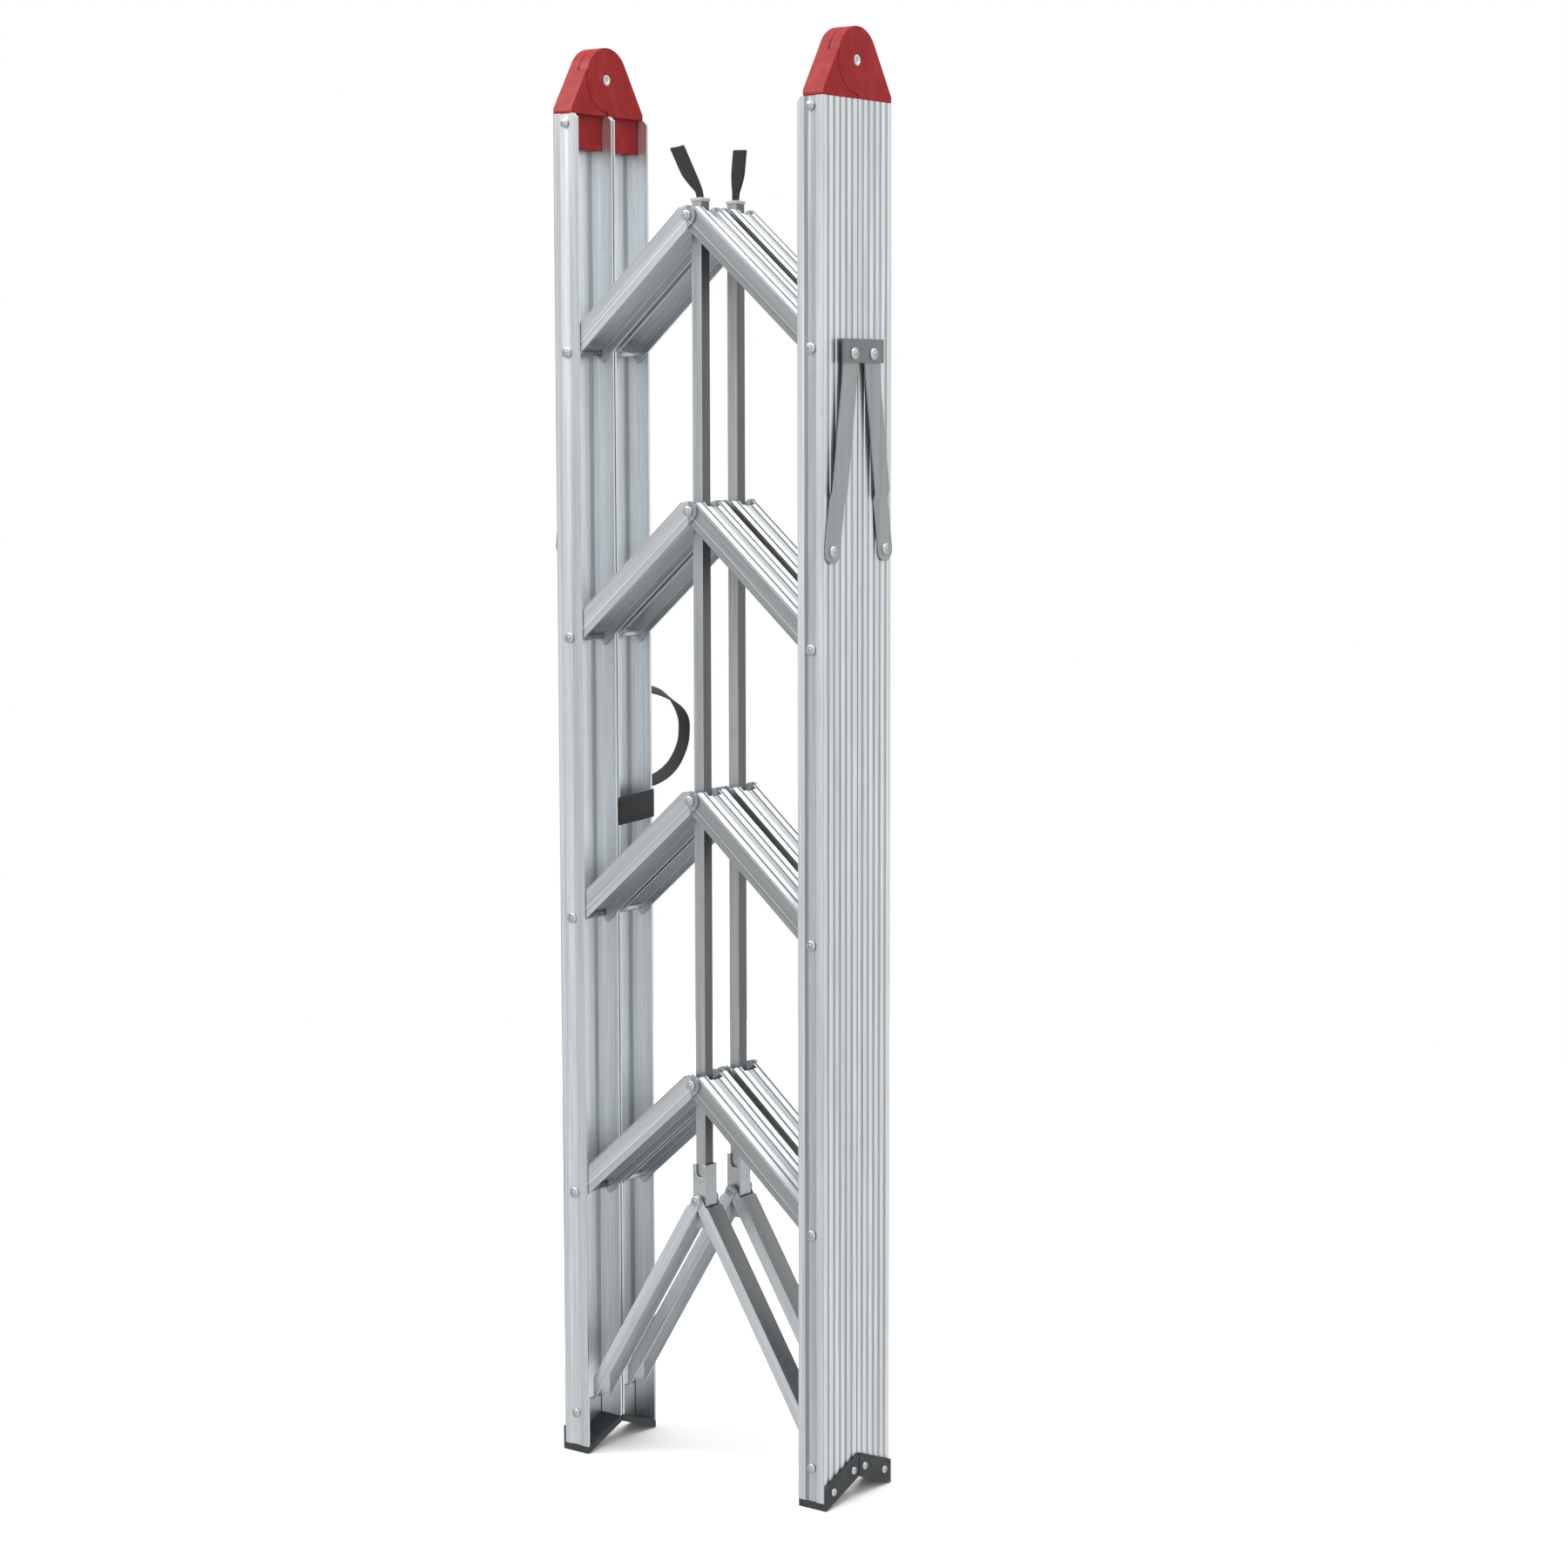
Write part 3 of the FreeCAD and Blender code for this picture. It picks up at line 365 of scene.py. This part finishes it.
def moulded(name, colour, gloss, grain, mottle):
    """Injection-moulded plastic: fine grain, faint flow mottling and rubbed patches."""
    f = Finish(name)
    place = f.coords.outputs["Object"]
    flow = f.noise(f.along(lean=25, stretch=2.5), scale=55, detail=4, rough=0.6)
    fine = f.noise(place, scale=2600, detail=2, rough=0.5)
    rub = f.noise(place, scale=160, detail=5, rough=0.7)
    dark = tuple(c * (1 - mottle) for c in colour)
    light = tuple(min(1, c * (1 + mottle) + 0.01) for c in colour)
    f.set(Base_Color=f.ramp(flow, [(0.3, dark), (0.5, colour), (0.72, light)]))
    f.set(Specular_IOR_Level=0.20)
    f.set(Roughness=f.fit(rub, gloss - 0.05, gloss + 0.12, 0.3, 0.7))
    f.bump(fine, strength=grain, distance=0.1 * MM)
    return f.material


def rubber(name):
    """Charcoal rubber with a matt grain and dusty scuffs."""
    f = Finish(name)
    place = f.coords.outputs["Object"]
    dust = f.noise(place, scale=70, detail=6, rough=0.7)
    grain = f.noise(place, scale=1500, detail=3, rough=0.6)
    clean = (0.015, 0.018, 0.020)
    worn = (0.027, 0.031, 0.034)
    dusty = (0.060, 0.063, 0.065)
    f.set(Base_Color=f.ramp(dust, [(0.35, clean), (0.56, worn), (0.75, dusty)]))
    f.set(Roughness=f.fit(dust, 0.62, 0.85, 0.35, 0.7))
    f.bump(grain, strength=0.35, distance=0.2 * MM)
    return f.material


def woven(name, colour):
    """Narrow-woven webbing. UV runs along and across the strip in metres."""
    f = Finish(name)
    weft_pitch = 1.1 * MM
    warp_pitch = 1.5 * MM
    u, v, _ = f.parts("UV")
    row = f.math("SINE", f.math("MULTIPLY", u, 2 * math.pi / weft_pitch))
    column = f.math("SINE", f.math("MULTIPLY", v, 2 * math.pi / warp_pitch))
    fuzz = f.noise(f.coords.outputs["Object"], scale=2200, detail=3, rough=0.7)
    weave = f.math("ADD", f.math("MULTIPLY", row, column), fuzz)
    # the colour follows the weave's relief, the same as the bump: painted shade in its hollows and a
    # painted highlight on its crowns
    dark = tuple(c * 0.45 for c in colour)
    light = tuple(c * 1.9 + 0.006 for c in colour)
    height = f.fit(weave, 0, 1, -0.7, 1.9)
    f.set(Base_Color=f.ramp(height, [(0.1, dark), (0.55, colour), (1.0, light)]))
    f.set(Roughness=f.fit(fuzz, 0.7, 0.95, 0.3, 0.7), Sheen_Weight=0.10, Sheen_Roughness=0.4)
    f.bump(weave, strength=0.6, distance=0.35 * MM)
    return f.material


HINGE_RED = (0.215, 0.004, 0.005)
CAP_GREY = (0.42, 0.42, 0.43)
WEBBING_BLACK = (0.013, 0.015, 0.017)

FINISHES = {
    "rail": extruded("rail_metal", 0, tone=0.80, gloss=0.33, detail=rail_painted_shade),
    "bar": extruded("bar_metal", 0, tone=0.52, gloss=0.38, detail=bar_painted_shade),
    "steel": extruded("zinc_strip", 0, tone=0.39, gloss=0.34, contrast=0.6),
    "plate": extruded("plate_metal", 0, tone=0.24, gloss=0.36, contrast=0.6),
    "hinge": moulded("hinge_red_plastic", HINGE_RED, gloss=0.42, grain=0.10, mottle=0.12),
    "cap": moulded("cap_grey_plastic", CAP_GREY, gloss=0.5, grain=0.12, mottle=0.10),
    "foot": rubber("foot_charcoal"),
    "bracket": folded_steel("bracket_sheet", tone=0.56, gloss=0.34),
    "liner": folded_steel("liner_sheet", tone=0.55, gloss=0.36),
    "rivet": folded_steel("rivet_metal", tone=0.52, gloss=0.24),
    "bolt": folded_steel("bolt_metal", tone=0.62, gloss=0.24),
    "webbing": woven("black_webbing", WEBBING_BLACK),
}
for side, way in (("left", 1), ("right", -1)):
    rung_lean = way * (90 - RUNG_SLOPE)
    brace_lean = way * (90 - BRACE_SLOPE)
    FINISHES[f"{side}_tread"] = extruded(
        f"{side}_tread_metal", rung_lean, tone=0.78, gloss=0.34, detail=tread_painted_shade_and_highlight)
    FINISHES[f"{side}_brace"] = extruded(
        f"{side}_brace_metal", brace_lean, tone=0.74, gloss=0.36, detail=brace_painted_shade)


# ---- CAD nodes that stay ----
def dress(node, finish, width, clamp=True):
    """Gives a CAD node its material, and rounds its hard edges by a width in mm.
    clamp keeps the rounding from overlapping itself on narrow faces."""
    target = nodes[node]
    for place in target.material_slots:
        place.material = FINISHES[finish]
    weld = target.modifiers.new("weld", "WELD")
    weld.merge_threshold = SAME_PLACE
    flat = target.modifiers.new("flat", "DECIMATE")
    flat.decimate_type = "DISSOLVE"
    flat.angle_limit = math.radians(0.5)
    bevel = target.modifiers.new("bevel", "BEVEL")
    bevel.width = width * MM
    bevel.segments = 2
    bevel.limit_method = "ANGLE"
    bevel.angle_limit = math.radians(35)
    bevel.use_clamp_overlap = clamp
    even = target.modifiers.new("even", "WEIGHTED_NORMAL")
    even.keep_sharp = False


for leaf in LEAVES:
    dress(f"{leaf}_centre_bar", "bar", 0.9)
    dress(f"{leaf}_bar_cap", "cap", 0.8)
    dress(f"{leaf}_lock_bracket", "bracket", 0.5)
    for side in SIDES:
        name = f"{leaf}_{side}"
        dress(f"{name}_stile", "rail", 0.25)
        dress(f"{name}_foot", "foot", 0.8)
        dress(f"{name}_foot_liner", "liner", 0.3)
        dress(f"{name}_hinge_half", "hinge", 0.8, clamp=False)
        dress(f"{name}_spreader_link", "steel", 0.35)
        dress(f"{name}_brace", f"{side}_brace", 0.45)
        for number in RUNGS:
            dress(f"{name}_rung_{number}", f"{side}_tread", 0.3)
for side in SIDES:
    dress(f"{side}_spreader_plate", "plate", 0.35)


# ---- mesh helpers ----
def piece(name, mesh, finish, body):
    """Links a mesh as a piece that rides on a body."""
    made = bpy.data.objects.new(name, mesh)
    bpy.context.scene.collection.objects.link(made)
    made.data.materials.append(FINISHES[finish])
    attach(made, body)
    return made


def finished(work, name):
    """Turns the working mesh into a mesh with its faces outward."""
    bmesh.ops.recalc_face_normals(work, faces=work.faces)
    mesh = bpy.data.meshes.new(name)
    work.to_mesh(mesh)
    work.free()
    return mesh


def solids(node):
    """Boxes of the separate solids in a CAD node, lowest first."""
    work = bmesh.new()
    work.from_mesh(nodes[node].data)
    bmesh.ops.remove_doubles(work, verts=work.verts, dist=SAME_PLACE)
    seen = set()
    boxes = []
    for start in work.verts:
        if start in seen:
            continue
        seen.add(start)
        group = [start]
        for vertex in group:
            for edge in vertex.link_edges:
                other = edge.other_vert(vertex)
                if other not in seen:
                    seen.add(other)
                    group.append(other)
        low = Vector([min(v.co[i] for v in group) for i in range(3)])
        high = Vector([max(v.co[i] for v in group) for i in range(3)])
        boxes.append((low, high))
    work.free()
    return sorted(boxes, key=lambda b: (round(b[0].z, 4), round(b[0].y, 4)))


def hexed(angle, across):
    """Radius at an angle of a hexagon with a width across its flats."""
    sector = math.radians(60)
    return across / 2 / math.cos((angle + sector / 2) % sector - sector / 2)


def spun(work, base, axis, profile, steps=40):
    """Adds a turned shape. Profile rows are (height, radius) or (height, width across flats, 6)."""
    axis = Vector(axis).normalized()
    side = Vector((0, 0, 1)) if abs(axis.z) < 0.5 else Vector((1, 0, 0))
    other = axis.cross(side)
    rings = []
    for height, radius, *flats in profile:
        if radius == 0:
            rings.append([work.verts.new(base + axis * height)])
            continue
        ring = []
        for i in range(steps):
            angle = 2 * math.pi * i / steps
            reach = hexed(angle, radius) if flats else radius
            beside = side * (reach * math.cos(angle)) + other * (reach * math.sin(angle))
            ring.append(work.verts.new(base + axis * height + beside))
        rings.append(ring)
    for low, high in zip(rings, rings[1:]):
        for i in range(steps):
            j = (i + 1) % steps
            if len(low) == 1:
                corners = [low[0], high[i], high[j]]
            elif len(high) == 1:
                corners = [low[i], low[j], high[0]]
            else:
                corners = [low[i], low[j], high[j], high[i]]
            work.faces.new(corners).smooth = True


def head(radius, tall, dimple):
    """Profile of a domed rivet head that starts just under height 0, with a dimple in its middle."""
    sunk = -0.2 * MM
    rim = 0.16
    rows = [(sunk, 0), (sunk, radius * 0.9), (0, radius), (tall * rim, radius)]
    for share in (0.25, 0.45, 0.62, 0.78, 0.92):
        rise = rim + (1 - rim) * math.sqrt(1 - (1 - share) ** 2)
        rows.append((tall * rise, radius * math.cos(share * math.pi / 2) ** 0.75))
    rows.append((tall, radius * 0.30))
    rows.append((tall - dimple, radius * 0.22))
    rows.append((tall - dimple, 0))
    return rows


# ---- rivets and pins ----
# depth of the dimple in a rivet head
SHALLOW = 0.3 * MM
DEEP = 0.5 * MM
# height of the plain heads on the CAD pins, from whose undersides the domed heads rise
CAD_HEAD = 1.8 * MM


def rivets(leaf, side):
    """A stile's rung pins and rivets, with domed heads on its front or back face and its web."""
    work = bmesh.new()
    name = f"{leaf}_{side}"
    stile_low, stile_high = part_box(f"{name}_stile")
    out = -1 if leaf == "front" else 1
    face = stile_low.y if leaf == "front" else stile_high.y
    shank = 4 * MM
    # a rung pin is longer than this from front to back, a web rivet thinner than this sideways
    pin_length = 20 * MM
    rivet_thickness = 3 * MM
    for low, high in solids(f"{name}_rivets"):
        middle = (low + high) / 2
        extent = high - low
        if extent.y > pin_length:
            inner = Vector((middle.x, low.y if out == 1 else high.y, middle.z))
            length = abs(face - inner.y)
            spun(work, inner, (0, out, 0), [(0, 0), (0, shank), (length, shank)])
        if extent.x < rivet_thickness:
            way = -1 if side == "left" else 1
            base = Vector((high.x if way == -1 else low.x, middle.y, middle.z))
            spun(work, base, (way, 0, 0), head(4.2 * MM, 1.7 * MM, DEEP))
        else:
            radius = extent.z / 2 * 0.80
            base = Vector((middle.x, face, middle.z))
            spun(work, base, (0, out, 0), head(radius, 2.5 * MM, SHALLOW))
    mesh = finished(work, f"{name}_rivet_set")
    made = piece(f"{name}_rivet_set", mesh, "rivet", f"{name}_leaf")
    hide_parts(f"{name}_rivets")


def pins(leaf):
    """The pins through a centre bar, with a domed head at both ends."""
    work = bmesh.new()
    shank = 3.5 * MM
    for low, high in solids(f"{leaf}_centre_pins"):
        middle = (low + high) / 2
        for way, y in ((-1, low.y + CAD_HEAD), (1, high.y - CAD_HEAD)):
            end = Vector((middle.x, y, middle.z))
            spun(work, end, (0, way, 0), head(5.4 * MM, 2.2 * MM, SHALLOW))
        start = Vector((middle.x, low.y + CAD_HEAD, middle.z))
        length = high.y - low.y - 2 * CAD_HEAD
        spun(work, start, (0, 1, 0), [(0, 0), (0, shank), (length, shank), (length, 0)])
    mesh = finished(work, f"{leaf}_pin_set")
    made = piece(f"{leaf}_pin_set", mesh, "rivet", f"{leaf}_bar")
    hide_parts(f"{leaf}_centre_pins")


for leaf in LEAVES:
    pins(leaf)
    for side in SIDES:
        rivets(leaf, side)


def caps(name, body, spots, way, radius, tall):
    """Domed heads over the plain heads of a CAD node."""
    work = bmesh.new()
    for spot in spots:
        spun(work, Vector(spot), way, head(radius, tall, SHALLOW))
    piece(name, finished(work, name), "rivet", body)


# radius and height of the domed heads, and their places on the plates, links and brackets
SPREADER_HEAD = (6.2 * MM, 2.7 * MM)
BRACKET_HEAD = (6.0 * MM, 2.6 * MM)
PLATE_RIVET_BELOW_TOP = 15.2 * MM
PLATE_RIVET_BESIDE = 17 * MM
LINK_FACE = WEB_FACE + 2.4 * MM
LINK_RIVET_BESIDE = 46.5 * MM
LINK_RIVET_ABOVE_END = 12.5 * MM
BRACKET_RIVET_ABOVE_END = 6 * MM

for side, way in (("left", -1), ("right", 1)):
    low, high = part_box(f"{side}_spreader_plate")
    middle = (low + high) / 2
    face = (high.x if way == 1 else low.x) - way * CAD_HEAD
    rivet_z = high.z - PLATE_RIVET_BELOW_TOP
    spots = [(face, middle.y + s * PLATE_RIVET_BESIDE, rivet_z) for s in (-1, 1)]
    caps(f"{side}_plate_rivets", f"{side}_plate", spots, (way, 0, 0), *SPREADER_HEAD)
    for leaf, beside in (("front", -LINK_RIVET_BESIDE), ("back", LINK_RIVET_BESIDE)):
        link_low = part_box(f"{leaf}_{side}_spreader_link")[0]
        spot = (way * LINK_FACE, middle.y + beside, link_low.z + LINK_RIVET_ABOVE_END)
        caps(f"{leaf}_{side}_link_rivet", f"{leaf}_{side}_link", [spot], (way, 0, 0), *SPREADER_HEAD)
for leaf in LEAVES:
    low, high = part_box(f"{leaf}_lock_bracket")
    middle = (low + high) / 2
    for end, way, y in (("front", -1, low.y), ("back", 1, high.y)):
        spot = (middle.x, y - way * CAD_HEAD, low.z + BRACKET_RIVET_ABOVE_END)
        caps(f"{leaf}_bracket_rivet_{end}", f"{leaf}_bracket", [spot], (0, way, 0), *BRACKET_HEAD)


# ---- hinge bolts ----
def socket_bolt(side, body):
    """A bolt through a hinge, with a hexagon socket in the head at both ends."""
    low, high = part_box(f"{side}_hinge_bolt")
    middle = (low + high) / 2
    shank = 4 * MM
    rim = 6 * MM
    socket = 4.2 * MM
    end = (high.x - low.x) / 2
    neck = end - 3.4 * MM
    profile = [
        (0, shank),
        (neck, shank),
        (neck, rim),
        (end - 0.7 * MM, rim),
        (end - 0.2 * MM, rim - 0.4 * MM),
        (end, rim - 1.0 * MM),
        (end, socket + 0.4 * MM, 6),
        (end - 0.3 * MM, socket, 6),
        (end - 2.6 * MM, socket, 6),
        (end - 3.0 * MM, 0),
    ]
    work = bmesh.new()
    for way in (-1, 1):
        spun(work, middle, (way, 0, 0), profile, 48)
    bmesh.ops.remove_doubles(work, verts=work.verts, dist=SAME_PLACE)
    mesh = finished(work, f"{side}_socket_bolt")
    made = piece(f"{side}_socket_bolt", mesh, "bolt", body)
    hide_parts(f"{side}_hinge_bolt")


socket_bolt("left", "left_bolt")
socket_bolt("right", "front_right_leaf")


# ---- webbing ----
def between(values, share):
    """Catmull-Rom through equally spaced values at a share of the whole run."""
    spot = share * (len(values) - 1)
    i = min(int(spot), len(values) - 2)
    t = spot - i
    a = values[max(i - 1, 0)]
    b = values[i]
    c = values[i + 1]
    d = values[min(i + 2, len(values) - 1)]
    square = 2 * a - 5 * b + 4 * c - d
    cube = 3 * b - a - 3 * c + d
    return 0.5 * (2 * b + (c - a) * t + square * t * t + cube * t ** 3)


def rounded_section(count=12):
    """Outline of a strip's section, with rounded edges, from -1 to 1 across and through it."""
    outline = []
    for k in range(count):
        angle = 2 * math.pi * (k + 0.5) / count
        c, s = math.cos(angle), math.sin(angle)
        outline.append((math.copysign(abs(c) ** 0.35, c), math.copysign(abs(s) ** 0.6, s)))
    return outline


def ribbon(name, stations, thick, body, steps):
    """A strip of webbing. Stations are (centre, width direction, half width), in order along it."""
    work = bmesh.new()
    layer = work.loops.layers.uv.new("strip")
    centres = [Vector(s[0]) for s in stations]
    acrosses = [Vector(s[1]).normalized() for s in stations]
    halves = [s[2] for s in stations]
    section = rounded_section()
    glance = 0.002
    rings = []
    travelled = []
    length = 0
    last = None
    for step in range(steps + 1):
        share = step / steps
        spot = between(centres, share)
        ahead = between(centres, min(share + glance, 1)) - between(centres, max(share - glance, 0))
        ahead.normalize()
        across = between(acrosses, share)
        across = (across - ahead * across.dot(ahead)).normalized()
        normal = ahead.cross(across)
        half = between(halves, share)
        if last is not None:
            length += (spot - last).length
        last = spot
        travelled.append(length)
        rings.append([
            work.verts.new(spot + across * (u * half) + normal * (v * thick / 2)) for u, v in section
        ])
    count = len(section)
    for i in range(steps):
        for k in range(count):
            m = (k + 1) % count
            face = work.faces.new([rings[i][k], rings[i][m], rings[i + 1][m], rings[i + 1][k]])
            face.smooth = True
            for loop, (a, b) in zip(face.loops, ((i, k), (i, m), (i + 1, m), (i + 1, k))):
                half = between(halves, a / steps)
                loop[layer].uv = (travelled[a], section[b][0] * half)
    work.faces.new(rings[0])
    work.faces.new(rings[-1])
    return piece(name, finished(work, name), "webbing", body)


def doubled(name, node, body, lean_x, lean_y, face_turn):
    """A pull strap: webbing folded over at the top, gathered where it enters the cap."""
    low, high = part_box(node)
    bar_low, bar_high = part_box(node.replace("pull_strap", "bar_cap"))
    foot = Vector(((bar_low.x + bar_high.x) / 2, (bar_low.y + bar_high.y) / 2, low.z - 1 * MM))
    tall = high.z - low.z
    half_width = 7.6 * MM
    gap = 1.0 * MM
    # height, lean and width up the strap, as shares of the most they reach
    plan = [
        (0.0, 0.0, 0.50), (0.16, 0.07, 0.52), (0.34, 0.30, 0.78),
        (0.54, 0.56, 0.98), (0.76, 0.78, 1.0), (0.985, 1.0, 1.0),
    ]
    facing = turn(face_turn, "Z") @ Vector((0, -1, 0))
    across = turn(face_turn, "Z") @ Vector((1, 0, 0))
    rows = []
    for height, lean, width in plan:
        spot = foot + Vector((lean_x * lean, lean_y * lean, tall * height))
        rows.append((spot, width * half_width))
    stations = [(rows[0][0] + facing * gap * 0.8, across, rows[0][1])]
    for spot, half in rows[1:]:
        stations.append((spot + facing * gap, across, half))
    top = rows[-1][0] + Vector((lean_x, lean_y, tall)) * 0.012
    stations.append((top, across, rows[-1][1]))
    for spot, half in reversed(rows):
        stations.append((spot - facing * gap, across, half))
    made = ribbon(name, stations, 1.5 * MM, body, 110)
    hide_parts(node)


doubled("front_pull_loop", "front_pull_strap", "front_bar", -23 * MM, -8 * MM, 14)
doubled("back_pull_loop", "back_pull_strap", "back_bar", 5 * MM, 1 * MM, 10)


def carry_loop():
    """The carry strap: it bows out behind the back leaf, and twists towards both its ends."""
    low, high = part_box("carry_strap")
    x = (low.x + high.x) / 2
    reach = high.y - low.y
    tall = high.z - low.z
    half_width = 8.0 * MM
    # share of the reach, share of the drop, and degrees of twist
    plan = [
        (0.00, 0.000, 36), (0.27, 0.035, 38), (0.50, 0.085, 40), (0.70, 0.158, 31), (0.86, 0.25, 13),
        (0.965, 0.36, 3), (0.985, 0.47, 0), (0.96, 0.60, 4), (0.87, 0.72, 10), (0.72, 0.835, 18),
        (0.50, 0.92, 26), (0.25, 0.967, 30), (0.00, 0.985, 30),
    ]
    stations = []
    for out, drop, twist in plan:
        spot = Vector((x, low.y + reach * out, high.z - tall * drop))
        across = turn(twist, "Y") @ Vector((1, 0, 0))
        stations.append((spot, across, half_width))
    made = ribbon("carry_loop", stations, 1.8 * MM, "back_left_leaf", 140)
    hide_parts("carry_strap")


def band_outline(middle, half_x, half_y):
    """Plan of a band wrapped round the stile: tight at the divide, slack behind."""
    slack = 6 * MM
    tight_corner = 3 * MM
    loose_corner = 8 * MM
    spots = []
    # the four corners, each with the angle at which its arc starts
    for side, end, start in ((1, 1, 0), (-1, 1, 90), (-1, -1, 180), (1, -1, 270)):
        corner = loose_corner if end == 1 else tight_corner
        loose = slack if end == 1 else 0
        for step in range(7):
            angle = math.radians(start + 15 * step)
            spots.append((
                middle.x + side * (half_x - corner) + corner * math.cos(angle),
                middle.y + end * (half_y - corner + loose) + corner * math.sin(angle),
            ))
    return spots


def ring_band():
    """The hook-and-loop band round the back left stile, higher behind than at the divide."""
    low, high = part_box("strap_band")
    middle = (low + high) / 2
    size = (high - low) / 2
    spots = band_outline(middle, size.x, size.y)
    tilt = 0.06
    thick = 0.8 * MM
    # height as a share of half the band, and how far out in thicknesses
    profile = [(-1.0, 0.0), (-0.97, 1.0), (-0.5, 1.25), (0.0, 1.15), (0.5, 1.25), (0.97, 1.0), (1.0, 0.0)]
    work = bmesh.new()
    layer = work.loops.layers.uv.new("strip")
    rings = []
    run = [0.0]
    for i, (x, y) in enumerate(spots):
        outward = Vector((x - middle.x, y - middle.y, 0)).normalized()
        centre = middle.z + tilt * (y - middle.y)
        ring = []
        for height, out in profile:
            spot = Vector((x, y, centre + size.z * height))
            ring.append(work.verts.new(spot + outward * (thick * (out - 1))))
        rings.append(ring)
        following = spots[(i + 1) % len(spots)]
        run.append(run[-1] + math.dist((x, y), following))
    for i in range(len(rings)):
        j = (i + 1) % len(rings)
        for k in range(len(profile) - 1):
            face = work.faces.new([rings[i][k], rings[j][k], rings[j][k + 1], rings[i][k + 1]])
            face.smooth = True
            for loop, (a, b) in zip(face.loops, ((i, k), (i + 1, k), (i + 1, k + 1), (i, k + 1))):
                loop[layer].uv = (run[a], profile[b][0] * size.z)
        face = work.faces.new([rings[i][-1], rings[j][-1], rings[j][0], rings[i][0]])
        face.smooth = True
    made = piece("stile_band", finished(work, "stile_band"), "webbing", "back_left_leaf")
    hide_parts("strap_band")


carry_loop()
ring_band()

# ---- floor and studio light ----
floor_mesh = bpy.data.meshes.new("studio_floor")
work = bmesh.new()
bmesh.ops.create_circle(work, cap_ends=True, radius=2.6, segments=128)
work.to_mesh(floor_mesh)
work.free()
floor = bpy.data.objects.new("studio_floor", floor_mesh)
bpy.context.scene.collection.objects.link(floor)
paper = Finish("studio_paper")
fibre = paper.noise(paper.coords.outputs["Object"], scale=3, detail=3, rough=0.5)
paper.set(Base_Color=paper.ramp(fibre, [(0.3, grey(0.90)), (0.7, grey(0.93))]), Roughness=0.9)
floor.data.materials.append(paper.material)
floor.visible_glossy = False


def softbox(name, place, aim, wide, tall, power):
    """A rectangular area light that points at a place."""
    light = bpy.data.lights.new(name, "AREA")
    light.shape = "RECTANGLE"
    light.size = wide
    light.size_y = tall
    light.energy = power
    lamp = bpy.data.objects.new(name, light)
    lamp.location = place
    lamp.rotation_mode = "QUATERNION"
    lamp.rotation_quaternion = (Vector(aim) - Vector(place)).to_track_quat("-Z", "Y")
    bpy.context.scene.collection.objects.link(lamp)


softbox("top_back", (0.2, 2.6, 3.2), aim=(0, 0, 0.9), wide=3.0, tall=1.8, power=22)
softbox("overhead", (0.3, -0.3, 3.8), aim=(0.1, 0, 0), wide=3.2, tall=3.2, power=90)
softbox("left_front", (-2.2, -1.8, 3.4), aim=(0, 0, 1.1), wide=1.5, tall=1.5, power=85)


def studio_world():
    """A pale room that is paler overhead and brighter on one side, behind a plain white backdrop."""
    world = bpy.data.worlds.new("studio")
    world.use_nodes = True
    bpy.context.scene.world = world
    tree = world.node_tree
    link = tree.links.new
    sky = tree.nodes["Background"]
    out = tree.nodes["World Output"]

    def ranged(value, start, end, low, high):
        node = tree.nodes.new("ShaderNodeMapRange")
        for socket, number in (("From Min", start), ("From Max", end), ("To Min", low), ("To Max", high)):
            node.inputs[socket].default_value = number
        link(value, node.inputs["Value"])
        return node.outputs["Result"]

    where = tree.nodes.new("ShaderNodeTexCoord")
    parts = tree.nodes.new("ShaderNodeSeparateXYZ")
    link(where.outputs["Generated"], parts.inputs[0])
    shade = tree.nodes.new("ShaderNodeValToRGB")
    link(ranged(parts.outputs["Z"], -0.2, 1.0, 0.0, 1.0), shade.inputs["Fac"])
    horizon, overhead = shade.color_ramp.elements
    horizon.position = 0.15
    horizon.color = (*grey(0.75), 1)
    overhead.position = 0.75
    overhead.color = (*grey(0.95, 0.01), 1)
    link(shade.outputs["Color"], sky.inputs["Color"])

    # brighter towards the front right
    toward = tree.nodes.new("ShaderNodeVectorMath")
    toward.operation = "DOT_PRODUCT"
    toward.inputs[1].default_value = (0.90, -0.43, 0.0)
    link(where.outputs["Generated"], toward.inputs[0])
    link(ranged(toward.outputs["Value"], -0.40, 0.90, 0.8, 1.5), sky.inputs["Strength"])

    white = tree.nodes.new("ShaderNodeBackground")
    white.inputs["Color"].default_value = (1, 1, 1, 1)
    white.inputs["Strength"].default_value = 1.0
    path = tree.nodes.new("ShaderNodeLightPath")
    choose = tree.nodes.new("ShaderNodeMixShader")
    link(path.outputs["Is Camera Ray"], choose.inputs[0])
    link(sky.outputs[0], choose.inputs[1])
    link(white.outputs[0], choose.inputs[2])
    link(choose.outputs[0], out.inputs["Surface"])


studio_world()
bpy.context.scene.view_settings.view_transform = "Standard"
